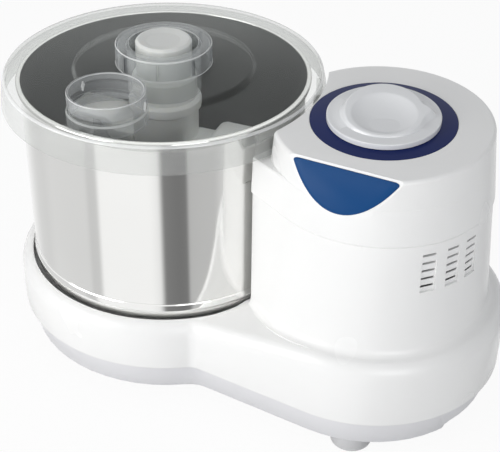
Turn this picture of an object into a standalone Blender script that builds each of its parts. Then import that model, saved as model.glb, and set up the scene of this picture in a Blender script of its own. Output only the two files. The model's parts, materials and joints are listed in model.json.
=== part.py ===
"""Table-top wet grinder: a steel drum turned by a belt beside a motor tower, with two conical stones in it.

Metres, +Z up. +X runs from the drum to the motor tower and the front is at -Y. The origin is on the table,
under the middle of the grinder.
"""

import math

import bmesh
import bpy
from mathutils import Matrix, Vector

mm = 0.001
full_turn = 2 * math.pi
quarter_turn = math.pi / 2

# Clearances, walls and helpers that several pieces share
seat_gap = 0.3 * mm
pin_gap = 0.35 * mm
running_gap = 1.4 * mm
overrun = 6 * mm
moulding_wall = 2.6 * mm
hidden_step = 0.4 * mm
flat_angle = math.radians(0.2)
smooth_angle = math.radians(35)
bevel_angle = math.radians(30)
steep_bevel_angle = math.radians(50)
weld_distance = 0.01 * mm
big_steps = 48
middle_steps = 24
small_steps = 12
inner_steps = 16
screw_steps = 8

# The base seen from above: a round end under the drum, a smaller one under the tower, and straight sides
axis_margin = 0.9 * mm
drum_deck_width = 10.4 * mm
tower_deck_width = 15.5 * mm
side_taper = math.radians(4.1)
waist_fillet_radius = 16 * mm
tower_arc_steps = 14
waist_arc_steps = 3
drum_arc_steps = 19

# Heights of the base
foot_height = 11 * mm
body_edge_z = 39.4 * mm
drum_deck_z = 84 * mm
tower_deck_z = 98.5 * mm
deck_slope_start = 70 * mm
shoulder_width = 9.6 * mm
shoulder_drop = 13 * mm
shoulder_steps = 3
edge_round = 0.9 * mm

# Tray under the body
tray_floor_thickness = 3 * mm
tray_lap = 6 * mm
tray_bottom_inset = 8.6 * mm
tray_side_inset = 6.4 * mm
tray_top_inset = 4 * mm
tray_edge_round = 2.6 * mm
recess_depth = 21 * mm
recess_half_width = 53 * mm
recess_height = 7.5 * mm
tray_vent_length = 46 * mm
tray_vent_width = 3.5 * mm
tray_vent_pitch = 9 * mm
tray_vent_count = 5

# Feet and screws
foot_radius = 17 * mm
foot_top_radius = 14.5 * mm
foot_recess_radius = 6.5 * mm
foot_recess_depth = 5 * mm
foot_round = 1.2 * mm
foot_tower_inset = 26.4 * mm
foot_tower_angle = math.radians(74.7)
foot_drum_inset = 51 * mm
foot_drum_angle = math.radians(135)
screw_head_radius = 4 * mm
screw_head_height = 2.4 * mm
screw_shank_radius = 1.9 * mm
foot_screw_length = 12 * mm
case_screw_length = 18 * mm
case_post_radius = 5 * mm
case_post_drum_inset = 37 * mm
case_post_drum_angle = math.radians(122)
case_post_tower_inset = 17.5 * mm
case_post_tower_angle = math.radians(60)

# Drum pit and the tower's hollow face beside the drum
pit_clearance = 3 * mm
pit_floor_z = 66 * mm
pit_floor_thickness = 3 * mm
tower_face_inset = 2.7 * mm
spindle_opening_radius = 17 * mm

# Tower: foot, seam and top, all round the tower's own axis
tower_foot_radius = 98 * mm
tower_wall_lean = 7 * mm
seam_z = 197.2 * mm
cover_overhang = 1.3 * mm
cover_wall_lean = 4.5 * mm
cover_edge_round = 3 * mm
tower_top_z = 254 * mm
top_slope = math.radians(2.9)
wing_half_width = 58.5 * mm
ledge_z = 228 * mm
lid_clearance = 0.8 * mm
top_wall = 2.6 * mm

# Louvres in the tower's wall
louvre_angles = [math.radians(a) for a in (-43.5, -30, -17.5, 17.5, 30, 43.5)]
louvre_top_z = 191.5 * mm
louvre_height = 37 * mm
louvre_width = 13 * mm
louvre_depth = 1 * mm
louvre_slots = 5
louvre_slot_height = 2 * mm
louvre_margin = 1 * mm

# Badge facet on the front of the top cover, and its bare plate
facet_top_y = 73 * mm
facet_tilt = math.radians(27)
facet_cut_depth = 50 * mm
facet_cut_length = 190 * mm
badge_thickness = 1 * mm
badge_margin = 0.3 * mm

# Dial ring, timer knob and timer
dial_ring_radius = 57.3 * mm
dial_ring_bore = 24 * mm
dial_ring_thickness = 1 * mm
dial_ring_proud = 0.2 * mm
knob_radius = 44.5 * mm
knob_flange_height = 4.7 * mm
knob_edge_round = 1.2 * mm
knob_turn = math.radians(22)
grip_radius = 34 * mm
grip_nose_reach = 40.5 * mm
grip_nose_width = 9 * mm
grip_back_height = 9.2 * mm
grip_front_height = 0.6 * mm
grip_roof_share = 0.8
grip_roof_shift = 5 * mm
grip_edge_round = 2 * mm
bowl_radius = 75 * mm
bowl_rim_radius = 25 * mm
bowl_shift = 6 * mm
timer_shaft_radius = 3.5 * mm
timer_width = 44 * mm
timer_height = 26 * mm
timer_shaft_reach = 12 * mm

# Cord gland in the back wall, without a cord
gland_z = 58 * mm
gland_flange_radius = 9 * mm
gland_body_radius = 6.6 * mm
gland_bore_radius = 3.6 * mm
gland_flange_thickness = 2.4 * mm

# Drum
drum_radius = 119.6 * mm
drum_wall = 1 * mm
drum_bottom_z = 80 * mm
drum_rim_z = 250.8 * mm
drum_bead_radius = 2.2 * mm
drum_bead_steps = 4
drum_band_z = 96 * mm
drum_band_proud = 0.7 * mm
drum_band_round = 3.4 * mm
crease_height = 1 * mm

# Stone floor, centre post and the coupling under the drum
stone_floor_clearance = 6.6 * mm
stone_floor_bore = 22 * mm
stone_floor_top_z = 99.7 * mm
stone_chamfer = 1.5 * mm
post_radius = 9 * mm
post_flange_thickness = 4.5 * mm
post_shoulder_drop = 3 * mm
post_stud_radius = 6 * mm
post_stud_length = 9 * mm
coupling_radius = 38 * mm
coupling_hex_radius = 25 * mm
coupling_height = 9.6 * mm
coupling_roof = 2.3 * mm

# Spindle, its bearings and the driven pulley
spindle_radius = 7 * mm
spindle_bottom_z = 21 * mm
bearing_outer_radius = 13 * mm
bearing_height = 8 * mm
bearing_spacer = 2 * mm
bearing_tube_radius = 16 * mm
bearing_flange_radius = 36 * mm
bearing_flange_thickness = 3.5 * mm
bearing_lip = 1 * mm
driven_pulley_radius = 72 * mm
driven_pulley_web = 4 * mm
driven_pulley_rim = 5 * mm
pulley_hub_radius = 13 * mm
pulley_flange_height = 2 * mm
pulley_flange_proud = 3.5 * mm
belt_width = 10 * mm
belt_thickness = 2.6 * mm
belt_centre_z = 33 * mm

# Motor
motor_pulley_radius = 12 * mm
motor_plate_z = 66 * mm
motor_plate_thickness = 2.5 * mm
motor_plate_radius = 68 * mm
motor_plate_bore = 22 * mm
plate_post_radius = 5 * mm
plate_post_circle = 61 * mm
stator_radius = 43 * mm
stator_bore = 25 * mm
stator_height = 38 * mm
bracket_height = 14 * mm
bracket_wall = 3 * mm
motor_bearing_outer = 10 * mm
motor_bearing_height = 6 * mm
motor_shaft_radius = 5 * mm
motor_shaft_bottom_z = 22 * mm
winding_thickness = 8 * mm
winding_height = 9 * mm
rotor_radius = 24 * mm
fan_radius = 37 * mm
fan_height = 13 * mm
fan_hub_radius = 11 * mm
fan_disc_thickness = 2 * mm
fan_blades = 9
fan_blade_thickness = 1.6 * mm
capacitor_radius = 15 * mm
capacitor_height = 58 * mm
capacitor_circle = 59.5 * mm
capacitor_angle = math.radians(100)

# Roller unit: two cones whose points meet on the drum's axis, at the stone floor, so they roll without slip
cone_half_angle = math.radians(26)
roller_line_angle = math.radians(4)
roller_start = 50 * mm
roller_length = 46 * mm
roller_chamfer = 2 * mm
roller_bush_wall = 3 * mm
axle_radius = 5 * mm
axle_embed = 12 * mm
washer_thickness = 1.5 * mm
washer_radius = 11 * mm
arm_thickness = 5 * mm
arm_width = 36 * mm
arm_top_z = 205 * mm
arm_shoulder_z = 194 * mm
arm_shoulder_reach = 40 * mm
arm_rise_run = 10 * mm
arm_round = 2 * mm
axle_boss_half_height = 13 * mm
holder_radius = 28 * mm
holder_bottom_z = 102 * mm
holder_bore = 12.2 * mm
holder_flange_z = 229.6 * mm
holder_flange_radius = 30.8 * mm
holder_flange_height = 11.6 * mm
holder_round = 2.2 * mm
hub_radius = 27.3 * mm
hub_top_z = 250 * mm
bush_length = 34 * mm
bush_start_z = 106 * mm
scraper_thickness = 3 * mm
scraper_clearance = 3.1 * mm
scraper_top_z = 158 * mm
scraper_foot_gap = 1.2 * mm
scraper_tip_height = 30 * mm
scraper_round = 6 * mm

# Lock knob in the lid's collar
lock_knob_radius = 23.4 * mm
lock_knob_height = 30 * mm
lock_knob_chamfer = 3.4 * mm
lock_knob_dish = 1.8 * mm
lock_knob_facets = 12

# Lid
lid_wall = 2 * mm
lid_top_z = 254.4 * mm
lid_rim_space = 13.2 * mm
lid_round = 2.6 * mm
lid_skirt_flare = 3.2 * mm
lid_skirt_z = 231 * mm
plateau_radius = 74.5 * mm
plateau_height = 5.6 * mm
plateau_slope = 2 * mm
collar_radius = 40 * mm
collar_bore = 28.7 * mm
collar_foot_z = 235 * mm
collar_top_z = 277 * mm
collar_round = 1.6 * mm
collar_slots = 8
collar_slot_width = 1.6 * mm
collar_slot_height = 11 * mm
chute_radius = 31.5 * mm
chute_offset_x = -8 * mm
chute_offset_y = -77 * mm
chute_top_z = 266 * mm
chute_bottom_z = 240 * mm
chute_step = 1.2 * mm
chute_step_z = 250 * mm
chute_chord = 21 * mm
chute_chord_angle = math.radians(14)
lug_angle = math.radians(23.5)
lug_half_width = 8 * mm
lug_inner_radius = 127 * mm

# Places that follow from the sizes above
pit_radius = drum_radius + pit_clearance
drum_end_radius = pit_radius + drum_deck_width
tower_end_radius = tower_foot_radius + tower_deck_width
tower_face_radius = pit_radius + tower_face_inset
seam_radius = tower_foot_radius - tower_wall_lean
cover_top_radius = seam_radius - cover_wall_lean
stone_floor_radius = drum_radius - drum_wall - stone_floor_clearance
scraper_reach = drum_radius - drum_wall - scraper_clearance
post_shoulder_z = hub_top_z - post_shoulder_drop
lock_knob_top_z = hub_top_z + lock_knob_height
lid_radius = drum_radius + lid_rim_space
lid_skirt_radius = lid_radius + lid_skirt_flare
lid_recess_radius = lid_skirt_radius + lid_clearance
axis_distance = lid_recess_radius + dial_ring_radius + axis_margin
drum_x = (lid_skirt_radius - axis_distance - tower_end_radius) / 2
tower_x = drum_x + axis_distance
tray_floor_z = foot_height + seat_gap
tray_inside_z = tray_floor_z + tray_floor_thickness
dial_frame = Matrix.Translation((tower_x, 0, tower_top_z)) @ Matrix.Rotation(top_slope, 4, "X")
roller_point = Vector((drum_x, 0, stone_floor_top_z + seat_gap))

parts = bpy.data.collections.new("wet_grinder")
cutters = bpy.data.collections.new("cutters")

finishes = {
    "white_body": ((0.86, 0.86, 0.85, 1), 0.22, 0),
    "grey_tray": ((0.60, 0.61, 0.64, 1), 0.45, 0),
    "rubber": ((0.10, 0.10, 0.11, 1), 0.8, 0),
    "blue_badge": ((0.02, 0.08, 0.19, 1), 0.35, 0),
    "navy_ring": ((0.03, 0.035, 0.14, 1), 0.35, 0),
    "white_knob": ((0.80, 0.81, 0.82, 1), 0.3, 0),
    "steel": ((0.72, 0.72, 0.71, 1), 0.12, 1),
    "bright_steel": ((0.62, 0.62, 0.63, 1), 0.3, 1),
    "stone": ((0.16, 0.16, 0.16, 1), 0.8, 0),
    "clear_plastic": ((0.90, 0.93, 0.92, 0.35), 0.08, 0),
    "milky_plastic": ((0.83, 0.85, 0.82, 1), 0.35, 0),
    "black_plastic": ((0.04, 0.04, 0.045, 1), 0.5, 0),
    "cast_aluminium": ((0.55, 0.56, 0.57, 1), 0.45, 1),
    "copper": ((0.72, 0.33, 0.14, 1), 0.35, 1),
    "screw_steel": ((0.50, 0.50, 0.52, 1), 0.35, 1),
}


def clear_scene():
    for thing in list(bpy.data.objects):
        bpy.data.objects.remove(thing)
    for collection in (parts, cutters):
        bpy.context.scene.collection.children.link(collection)
    cutters.hide_render = True


def finish_material(name):
    material = bpy.data.materials.get(name)
    if material is None:
        colour, roughness, metallic = finishes[name]
        material = bpy.data.materials.new(name)
        material.use_nodes = True
        shader = material.node_tree.nodes["Principled BSDF"]
        shader.inputs["Base Color"].default_value = colour
        shader.inputs["Roughness"].default_value = roughness
        shader.inputs["Metallic"].default_value = metallic
        shader.inputs["Alpha"].default_value = colour[3]
    return material


def place(name, mesh, finish=None, frame=None):
    """A part when a finish is given, otherwise a cutter."""
    thing = bpy.data.objects.new(name, mesh)
    if frame is not None:
        thing.matrix_world = frame
    if finish:
        parts.objects.link(thing)
        mesh.materials.append(finish_material(finish))
        mesh.shade_smooth()
        mesh.set_sharp_from_angle(angle=smooth_angle)
    else:
        cutters.objects.link(thing)
        thing.hide_render = True
        thing.display_type = "WIRE"
    return thing


def mesh_from(name, build):
    shape = bmesh.new()
    build(shape)
    bmesh.ops.recalc_face_normals(shape, faces=shape.faces)
    mesh = bpy.data.meshes.new(name)
    shape.to_mesh(mesh)
    shape.free()
    return mesh


def boolean(target, operation, tool):
    """One Boolean. Triangles before each further one keep large flat faces closed."""
    if any(modifier.type == "BOOLEAN" for modifier in target.modifiers):
        target.modifiers.new("triangles", "TRIANGULATE")
    step = target.modifiers.new(operation.lower() + "_" + tool.name, "BOOLEAN")
    step.operation = operation
    step.object = tool
    step.solver = "EXACT"


def merge_flats(thing):
    """Joins the triangles that Booleans leave in flat faces, so that the mesh stays light."""
    flats = thing.modifiers.new("flats", "DECIMATE")
    flats.decimate_type = "DISSOLVE"
    flats.angle_limit = flat_angle


def cut(target, *tools):
    for tool in tools:
        boolean(target, "DIFFERENCE", tool)


def join(target, *tools):
    for tool in tools:
        boolean(target, "UNION", tool)


def at(x=0.0, y=0.0, z=0.0):
    return Matrix.Translation((x, y, z))


def turned(name, profile, steps, finish=None, frame=None, closed=False):
    """A turned solid. The profile holds (radius, height) pairs down its outer side. A closed one is a ring."""
    mesh = bpy.data.meshes.new(name)
    count = len(profile)
    edges = [(i, i + 1) for i in range(count - 1)]
    if closed:
        edges.append((count - 1, 0))
    mesh.from_pydata([(radius, 0, height) for radius, height in profile], edges, [])
    thing = place(name, mesh, finish, frame)
    screw = thing.modifiers.new("turn", "SCREW")
    screw.axis = "Z"
    screw.angle = full_turn
    screw.steps = steps
    screw.render_steps = steps
    screw.use_merge_vertices = True
    screw.merge_threshold = weld_distance
    screw.use_smooth_shade = True
    return thing


def ring(name, outer, inner, low, high, steps, finish=None, frame=None):
    loop = [(inner, high), (outer, high), (outer, low), (inner, low)]
    return turned(name, loop, steps, finish, frame, closed=True)


def rod(name, radius, low, high, steps, finish=None, frame=None):
    return turned(name, [(0, high), (radius, high), (radius, low), (0, low)], steps, finish, frame)


def block(name, low, high, finish=None, frame=None, rounding=0.0, segments=2):
    """A box between two corners, with its edges rounded where a rounding is given."""

    def build(shape):
        bmesh.ops.create_cube(shape, size=1)
        size = [b - a for a, b in zip(low, high)]
        middle = [(a + b) / 2 for a, b in zip(low, high)]
        bmesh.ops.scale(shape, vec=size, verts=shape.verts)
        bmesh.ops.translate(shape, vec=middle, verts=shape.verts)

    thing = place(name, mesh_from(name, build), finish, frame)
    if rounding:
        soften(thing, rounding, segments)
    return thing


def soften(thing, rounding, segments=2, limit=bevel_angle):
    edge = thing.modifiers.new("rounding", "BEVEL")
    edge.width = rounding
    edge.segments = segments
    edge.limit_method = "ANGLE"
    edge.angle_limit = limit


def prism(name, outline, low, high, finish=None, frame=None, roof_outline=None):
    """An outline in X and Y, drawn up from low to high, to another outline where one is given."""

    def build(shape):
        floor = [shape.verts.new((x, y, low)) for x, y in outline]
        roof = [shape.verts.new((x, y, high)) for x, y in roof_outline or outline]
        shape.faces.new(floor)
        shape.faces.new(roof)
        for i in range(len(outline)):
            j = (i + 1) % len(outline)
            shape.faces.new((floor[i], floor[j], roof[j], roof[i]))

    return place(name, mesh_from(name, build), finish, frame)


def loft(name, rings, finish=None):
    """A solid through rings. Each ring is an outline's front half, from the +X end to the -X end, mirrored to
    the back, with a rule that gives its height. Strips from front to back close the two ends."""

    def build(shape):
        loops = []
        for front, height in rings:
            near = [shape.verts.new((x, y, height(x, y))) for x, y in front]
            far = [shape.verts.new((x, -y, height(x, -y))) for x, y in front[1:-1]]
            loops.append((near, [near[0]] + far + [near[-1]]))
        for (near, far), (near_up, far_up) in zip(loops, loops[1:]):
            for side, side_up in ((near, near_up), (far, far_up)):
                for i in range(len(side) - 1):
                    shape.faces.new((side[i], side[i + 1], side_up[i + 1], side_up[i]))
        for near, far in (loops[0], loops[-1]):
            last = len(near) - 1
            for i in range(last):
                strip = [near[i], near[i + 1], far[i + 1], far[i]]
                shape.faces.new(list(dict.fromkeys(strip)))
        bmesh.ops.triangulate(shape, faces=shape.faces)

    return place(name, mesh_from(name, build), finish)


def arc(centre, radius, start, end, steps):
    """Points along an arc, ends included."""
    turns = [start + (end - start) * i / steps for i in range(steps + 1)]
    return [(centre[0] + radius * math.cos(a), centre[1] + radius * math.sin(a)) for a in turns]


def waist_centre():
    """Centre of the concave round between the straight side and the drum end, at every inset."""
    outward = Vector((math.cos(-quarter_turn - side_taper), math.sin(-quarter_turn - side_taper)))
    along = Vector((outward.y, -outward.x))
    start = Vector((axis_distance, 0)) + outward * (tower_end_radius + waist_fillet_radius)
    reach = drum_end_radius + waist_fillet_radius
    middle = start.dot(along)
    travel = -middle - math.sqrt(middle**2 - start.length_squared + reach**2)
    return Vector((drum_x, 0)) + start + along * travel


def base_outline(inset):
    """Front half of the base seen from above, every wall moved in by the inset."""
    waist = waist_centre()
    side = -quarter_turn - side_taper
    to_drum = math.atan2(-waist.y, drum_x - waist.x)
    points = arc((tower_x, 0), tower_end_radius - inset, 0, side, tower_arc_steps)
    points += arc(waist, waist_fillet_radius + inset, side + math.pi, to_drum, waist_arc_steps)
    points += arc((drum_x, 0), drum_end_radius - inset, to_drum - math.pi, -math.pi, drum_arc_steps)[1:]
    return points


def deck_z(x):
    """Height of the base's top: level round the drum, rising smoothly to the tower."""
    start = drum_x + deck_slope_start
    share = min(max((x - start) / (tower_x - start), 0), 1)
    return drum_deck_z + (tower_deck_z - drum_deck_z) * share * share * (3 - 2 * share)


def base_ring(inset, z=None, drop=0.0):
    """One ring of the base, at a height, or at a drop below the deck."""
    return base_outline(inset), lambda x, y: deck_z(x) - drop if z is None else z


def tower_outline(radius, half_width):
    """Front half of the tower seen from above: a circle, and a straight wing that reaches to the drum's side."""
    corner = Vector((drum_x + math.sqrt(tower_face_radius**2 - half_width**2), -half_width))
    to_corner = corner - Vector((tower_x, 0))
    tangent = math.atan2(to_corner.y, to_corner.x) + math.acos(radius / to_corner.length)
    points = arc((tower_x, 0), radius, 0, tangent, tower_arc_steps + waist_arc_steps)
    run = corner - Vector(points[-1])
    inner = corner + run * (overrun / run.length)
    return points + [tuple(inner), (inner.x - overrun, 0)]


def tower_circle(radius, steps):
    return arc((tower_x, 0), radius, 0, -math.pi, steps)


def level(outline, z):
    return outline, lambda x, y: z


def sloped(outline, drop):
    """A ring on the tower's sloping top, or at a drop below it."""
    return outline, lambda x, y: tower_top_z + y * math.tan(top_slope) - drop


def drum_cylinder(name, radius, low, high):
    return rod(name, radius, low, high, big_steps, frame=at(drum_x))


def rounded_edge(width, height, steps):
    """(inset, drop) pairs of an edge that turns from a side wall into a top, the wall first."""
    turns = [quarter_turn * i / steps for i in range(steps + 1)]
    return [(width * (1 - math.cos(a)), height * (1 - math.sin(a))) for a in turns]


def case_posts():
    """Centres of the four posts that the case screws go into, with the height where each one ends."""
    drum_post_top = pit_floor_z - pit_floor_thickness / 2
    drum_post_radius = drum_end_radius - case_post_drum_inset
    tower_post_radius = tower_end_radius - case_post_tower_inset
    places = []
    for side in (-1, 1):
        angle = side * case_post_drum_angle
        x = drum_x + drum_post_radius * math.cos(angle)
        places.append((x, drum_post_radius * math.sin(angle), drum_post_top))
        angle = side * case_post_tower_angle
        x = tower_x + tower_post_radius * math.cos(angle)
        places.append((x, tower_post_radius * math.sin(angle), deck_z(x)))
    return places


def foot_places():
    """Centres of the four feet, the two at the tower's end first."""
    ends = (
        (tower_x, tower_end_radius - foot_tower_inset, foot_tower_angle),
        (drum_x, drum_end_radius - foot_drum_inset, foot_drum_angle),
    )
    places = []
    for x, radius, angle in ends:
        places += [(x + radius * math.cos(angle), side * radius * math.sin(angle)) for side in (-1, 1)]
    return places


def plate_posts():
    diagonal = plate_post_circle / math.sqrt(2)
    return [(tower_x + i * diagonal, j * diagonal) for i in (-1, 1) for j in (-1, 1)]


def make_tray():
    inside = tray_inside_z
    top = body_edge_z + tray_lap
    outer = [base_ring(tray_bottom_inset + tray_edge_round, tray_floor_z)]
    outer += [base_ring(tray_bottom_inset, tray_floor_z + tray_edge_round)]
    outer += [base_ring(tray_side_inset, body_edge_z - tray_lap), base_ring(tray_top_inset, body_edge_z)]
    outer += [base_ring(tray_top_inset, top)]
    tray = loft("base_tray", outer, "grey_tray")
    hollow = [base_ring(tray_bottom_inset + moulding_wall, inside)]
    hollow += [base_ring(tray_side_inset + moulding_wall, body_edge_z - tray_lap)]
    hollow += [base_ring(tray_top_inset + moulding_wall, body_edge_z)]
    hollow += [base_ring(tray_top_inset + moulding_wall, top + overrun)]
    cavity = loft("tray_hollow", hollow)
    end = tower_x + tower_end_radius
    recess_inner = end - tray_bottom_inset - recess_depth
    recess_top = tray_floor_z + recess_height
    low = (recess_inner, -recess_half_width, tray_floor_z - overrun)
    high = (end + overrun, recess_half_width, recess_top)
    recess = block("finger_recess", low, high, rounding=tray_lap)
    low = (low[0] - moulding_wall, low[1] - moulding_wall, low[2])
    high = (high[0], high[1] + moulding_wall, high[2] + moulding_wall)
    cut(cavity, block("recess_wall", low, high, rounding=tray_lap))
    cut(tray, cavity, recess)
    for number, (x, y) in enumerate(plate_posts()):
        join(tray, rod(f"plate_post_{number}", plate_post_radius, inside - hidden_step,
                       motor_plate_z - seat_gap, small_steps, frame=at(x, y)))
    for number, (x, y) in enumerate(foot_places() + [post[:2] for post in case_posts()]):
        hole = rod(f"tray_hole_{number}", screw_shank_radius + pin_gap, 0, inside + overrun, small_steps,
                   frame=at(x, y))
        cut(tray, hole)
    for number in range(tray_vent_count):
        x = tower_x + (number - (tray_vent_count - 1) / 2) * tray_vent_pitch
        low = (x - tray_vent_width / 2, -tray_vent_length / 2, tray_floor_z - overrun)
        high = (x + tray_vent_width / 2, tray_vent_length / 2, inside + overrun)
        cut(tray, block(f"tray_vent_{number}", low, high))
    merge_flats(tray)


def make_feet():
    for number, (x, y) in enumerate(foot_places(), start=1):
        profile = [(0, foot_height), (foot_top_radius, foot_height), (foot_radius, foot_round)]
        profile += [(foot_radius - foot_round, 0), (foot_recess_radius, 0)]
        profile += [(foot_recess_radius, foot_recess_depth), (0, foot_recess_depth)]
        foot = turned(f"rubber_foot_{number}", profile, small_steps, "rubber", at(x, y))
        clearance = screw_shank_radius + pin_gap
        hole_top = foot_height + overrun
        cut(foot, rod(f"foot_hole_{number}", clearance, 0, hole_top, small_steps, frame=at(x, y)))
        head = foot_recess_depth - seat_gap
        make_screw(f"foot_screw_{number}", x, y, head, foot_screw_length)
    for number, (x, y, _) in enumerate(case_posts(), start=1):
        make_screw(f"case_screw_{number}", x, y, tray_floor_z - seat_gap, case_screw_length)


def make_screw(name, x, y, head_top, length):
    """A pan-head screw pointing up, its head's seat at head_top."""
    head_low = head_top - screw_head_height
    rim = screw_head_radius - screw_head_height / 4
    profile = [(0, head_top + length), (screw_shank_radius / 2, head_top + length)]
    profile += [(screw_shank_radius, head_top + length - screw_shank_radius), (screw_shank_radius, head_top)]
    profile += [(screw_head_radius, head_top), (rim, head_low), (0, head_low)]
    turned(name, profile, screw_steps, "screw_steel", at(x, y))


def tower_radius(z):
    """Outer radius of the lower tower, which tapers from its foot to the seam."""
    share = (z - tower_deck_z) / (seam_z - tower_deck_z)
    return tower_foot_radius + (seam_radius - tower_foot_radius) * share


def make_body():
    edge = [base_ring(edge_round, body_edge_z), base_ring(0, body_edge_z + edge_round)]
    curve = rounded_edge(shoulder_width, shoulder_drop, shoulder_steps)
    shoulder = [base_ring(inset, drop=drop) for inset, drop in curve]
    body = loft("body_housing", edge + shoulder, "white_body")
    tower_low = drum_deck_z - shoulder_drop
    top = seam_z - seat_gap
    tower = loft("lower_tower", [
        level(tower_outline(tower_radius(tower_low), wing_half_width), tower_low),
        level(tower_outline(tower_radius(top), wing_half_width), top),
    ])
    cut(tower, drum_cylinder("tower_face", tower_face_radius, 0, tower_top_z + overrun))
    join(body, tower)
    cut(body, drum_cylinder("drum_pit", pit_radius, pit_floor_z, tower_top_z))
    hollow = loft("base_hollow", [
        base_ring(moulding_wall, body_edge_z - overrun),
        base_ring(moulding_wall, drum_deck_z - shoulder_drop),
        base_ring(shoulder_width, drop=moulding_wall + edge_round),
    ])
    cup_low = pit_floor_z - pit_floor_thickness
    cut(hollow, drum_cylinder("pit_cup", pit_radius + moulding_wall, cup_low, tower_top_z))
    wing = wing_half_width - moulding_wall
    shaft = loft("tower_hollow", [
        level(tower_outline(tower_radius(tower_low) - moulding_wall, wing), tower_low),
        level(tower_outline(tower_radius(top) - moulding_wall, wing), top + overrun),
    ])
    face = drum_cylinder("tower_face_wall", tower_face_radius + moulding_wall, 0, tower_top_z + overrun)
    cut(shaft, face)
    cut(body, hollow, shaft)
    cut(body, drum_cylinder("spindle_opening", spindle_opening_radius, 0, drum_deck_z))
    cut(body, gland_hole(), louvre_recesses(), louvre_slot_cuts())
    for number, (x, y, post_top) in enumerate(case_posts()):
        frame = at(x, y)
        low = tray_inside_z + seat_gap
        high = post_top - edge_round
        join(body, rod(f"case_post_{number}", case_post_radius, low, high, small_steps, frame=frame))
        screw_top = tray_floor_z + case_screw_length + overrun
        bore = screw_shank_radius + pin_gap
        cut(body, rod(f"case_hole_{number}", bore, 0, screw_top, small_steps, frame=frame))
    merge_flats(body)


def gland_hole():
    frame = at(tower_x, tower_end_radius, gland_z) @ Matrix.Rotation(-quarter_turn, 4, "X")
    return rod("gland_hole", gland_body_radius + seat_gap, -2 * overrun, overrun, small_steps, frame=frame)


def boxes_mesh(name, boxes):
    """One cutter of several boxes. Each box is a frame, a width, a depth and a height, centred on the frame."""

    def build(shape):
        for frame, width, depth, height in boxes:
            size = Matrix.Diagonal((width, depth, height, 1))
            bmesh.ops.create_cube(shape, size=1, matrix=frame @ size)

    return place(name, mesh_from(name, build))


def wall_frame(angle, z):
    """A frame on the lower tower's wall: X runs along the wall, Y out of it."""
    turn = Matrix.Rotation(angle - quarter_turn, 4, "Z")
    return at(tower_x, 0, z) @ turn @ at(0, tower_radius(z), 0)


def louvre_recesses():
    middle = louvre_top_z - louvre_height / 2
    depth = 2 * overrun
    shift = at(0, depth / 2 - louvre_depth, 0)
    frames = [wall_frame(angle, middle) @ shift for angle in louvre_angles]
    return boxes_mesh("louvre_recesses", [(frame, louvre_width, depth, louvre_height) for frame in frames])


def louvre_slot_cuts():
    pitch = (louvre_height - 2 * louvre_margin) / louvre_slots
    boxes = []
    for angle in louvre_angles:
        for row in range(louvre_slots):
            z = louvre_top_z - louvre_margin - (row + 0.5) * pitch
            boxes.append((wall_frame(angle, z), louvre_width - 2 * louvre_margin, 2 * overrun, louvre_slot_height))
    return boxes_mesh("louvre_slots", boxes)


def facet_frame(offset=0.0):
    """On the badge facet: Y points out of it, Z up along it. The offset moves it out."""
    top = tower_top_z - facet_top_y * math.tan(top_slope)
    turn = Matrix.Rotation(math.pi, 4, "Z") @ Matrix.Rotation(facet_tilt, 4, "X")
    return at(tower_x, -facet_top_y, top) @ turn @ at(0, offset, 0)


def facet_block(name, near, far):
    """A slab in front of the facet, from near to far out of it."""
    low = (-facet_cut_length / 2, near, -facet_cut_length / 2)
    high = (facet_cut_length / 2, far, facet_cut_depth)
    return block(name, low, high, frame=facet_frame())


def cover_rings(inset, bottom, roof_drop):
    """Rings of the top cover's round part, moved in by the inset."""
    steps = tower_arc_steps * 2
    rings = [level(tower_circle(seam_radius + cover_overhang - inset, steps), bottom)]
    for round_inset, drop in rounded_edge(cover_edge_round, cover_edge_round, shoulder_steps - 1):
        rings.append(sloped(tower_circle(cover_top_radius - inset - round_inset, steps), roof_drop + drop))
    return rings


def make_top_cover():
    cover = loft("top_cover", cover_rings(0, seam_z, 0), "white_body")
    wing_radius = seam_radius + cover_overhang - hidden_step
    share = (tower_top_z - ledge_z) / (tower_top_z - seam_z)
    upper_radius = cover_top_radius + (wing_radius - cover_top_radius) * share
    wings = loft("cover_wings", [
        level(tower_outline(wing_radius, wing_half_width + cover_overhang), seam_z + hidden_step / 4),
        level(tower_outline(upper_radius, wing_half_width), ledge_z),
    ])
    join(cover, wings)
    recess = dial_ring_radius + seat_gap
    seat = dial_ring_proud - dial_ring_thickness - seat_gap
    hole = timer_shaft_radius + running_gap
    profile = [(0, overrun), (recess, overrun), (recess, seat), (hole, seat)]
    profile += [(hole, -2 * overrun), (0, -2 * overrun)]
    cut(cover, turned("dial_recess", profile, big_steps, frame=dial_frame))
    cut(cover, drum_cylinder("cover_face", tower_face_radius, 0, tower_top_z + overrun))
    cut(cover, drum_cylinder("lid_recess", lid_recess_radius, ledge_z, tower_top_z + 2 * overrun))
    cut(cover, facet_block("facet_cut", 0, facet_cut_depth))
    hollow = loft("cover_hollow", cover_rings(moulding_wall, seam_z - overrun, top_wall))
    wall_round = lid_recess_radius + moulding_wall
    cut(hollow, drum_cylinder("recess_wall_round", wall_round, 0, tower_top_z + overrun))
    cut(hollow, facet_block("facet_wall", -moulding_wall, facet_cut_depth))
    cut(cover, hollow)
    merge_flats(cover)


def make_badge():
    plate = facet_block("badge_plate", seat_gap, seat_gap + badge_thickness)
    cutters.objects.unlink(plate)
    parts.objects.link(plate)
    plate.hide_render = False
    plate.display_type = "TEXTURED"
    plate.data.materials.append(finish_material("blue_badge"))
    envelope = loft("badge_envelope", cover_rings(badge_margin, seam_z, cover_edge_round / 2))
    boolean(plate, "INTERSECT", envelope)


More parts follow.
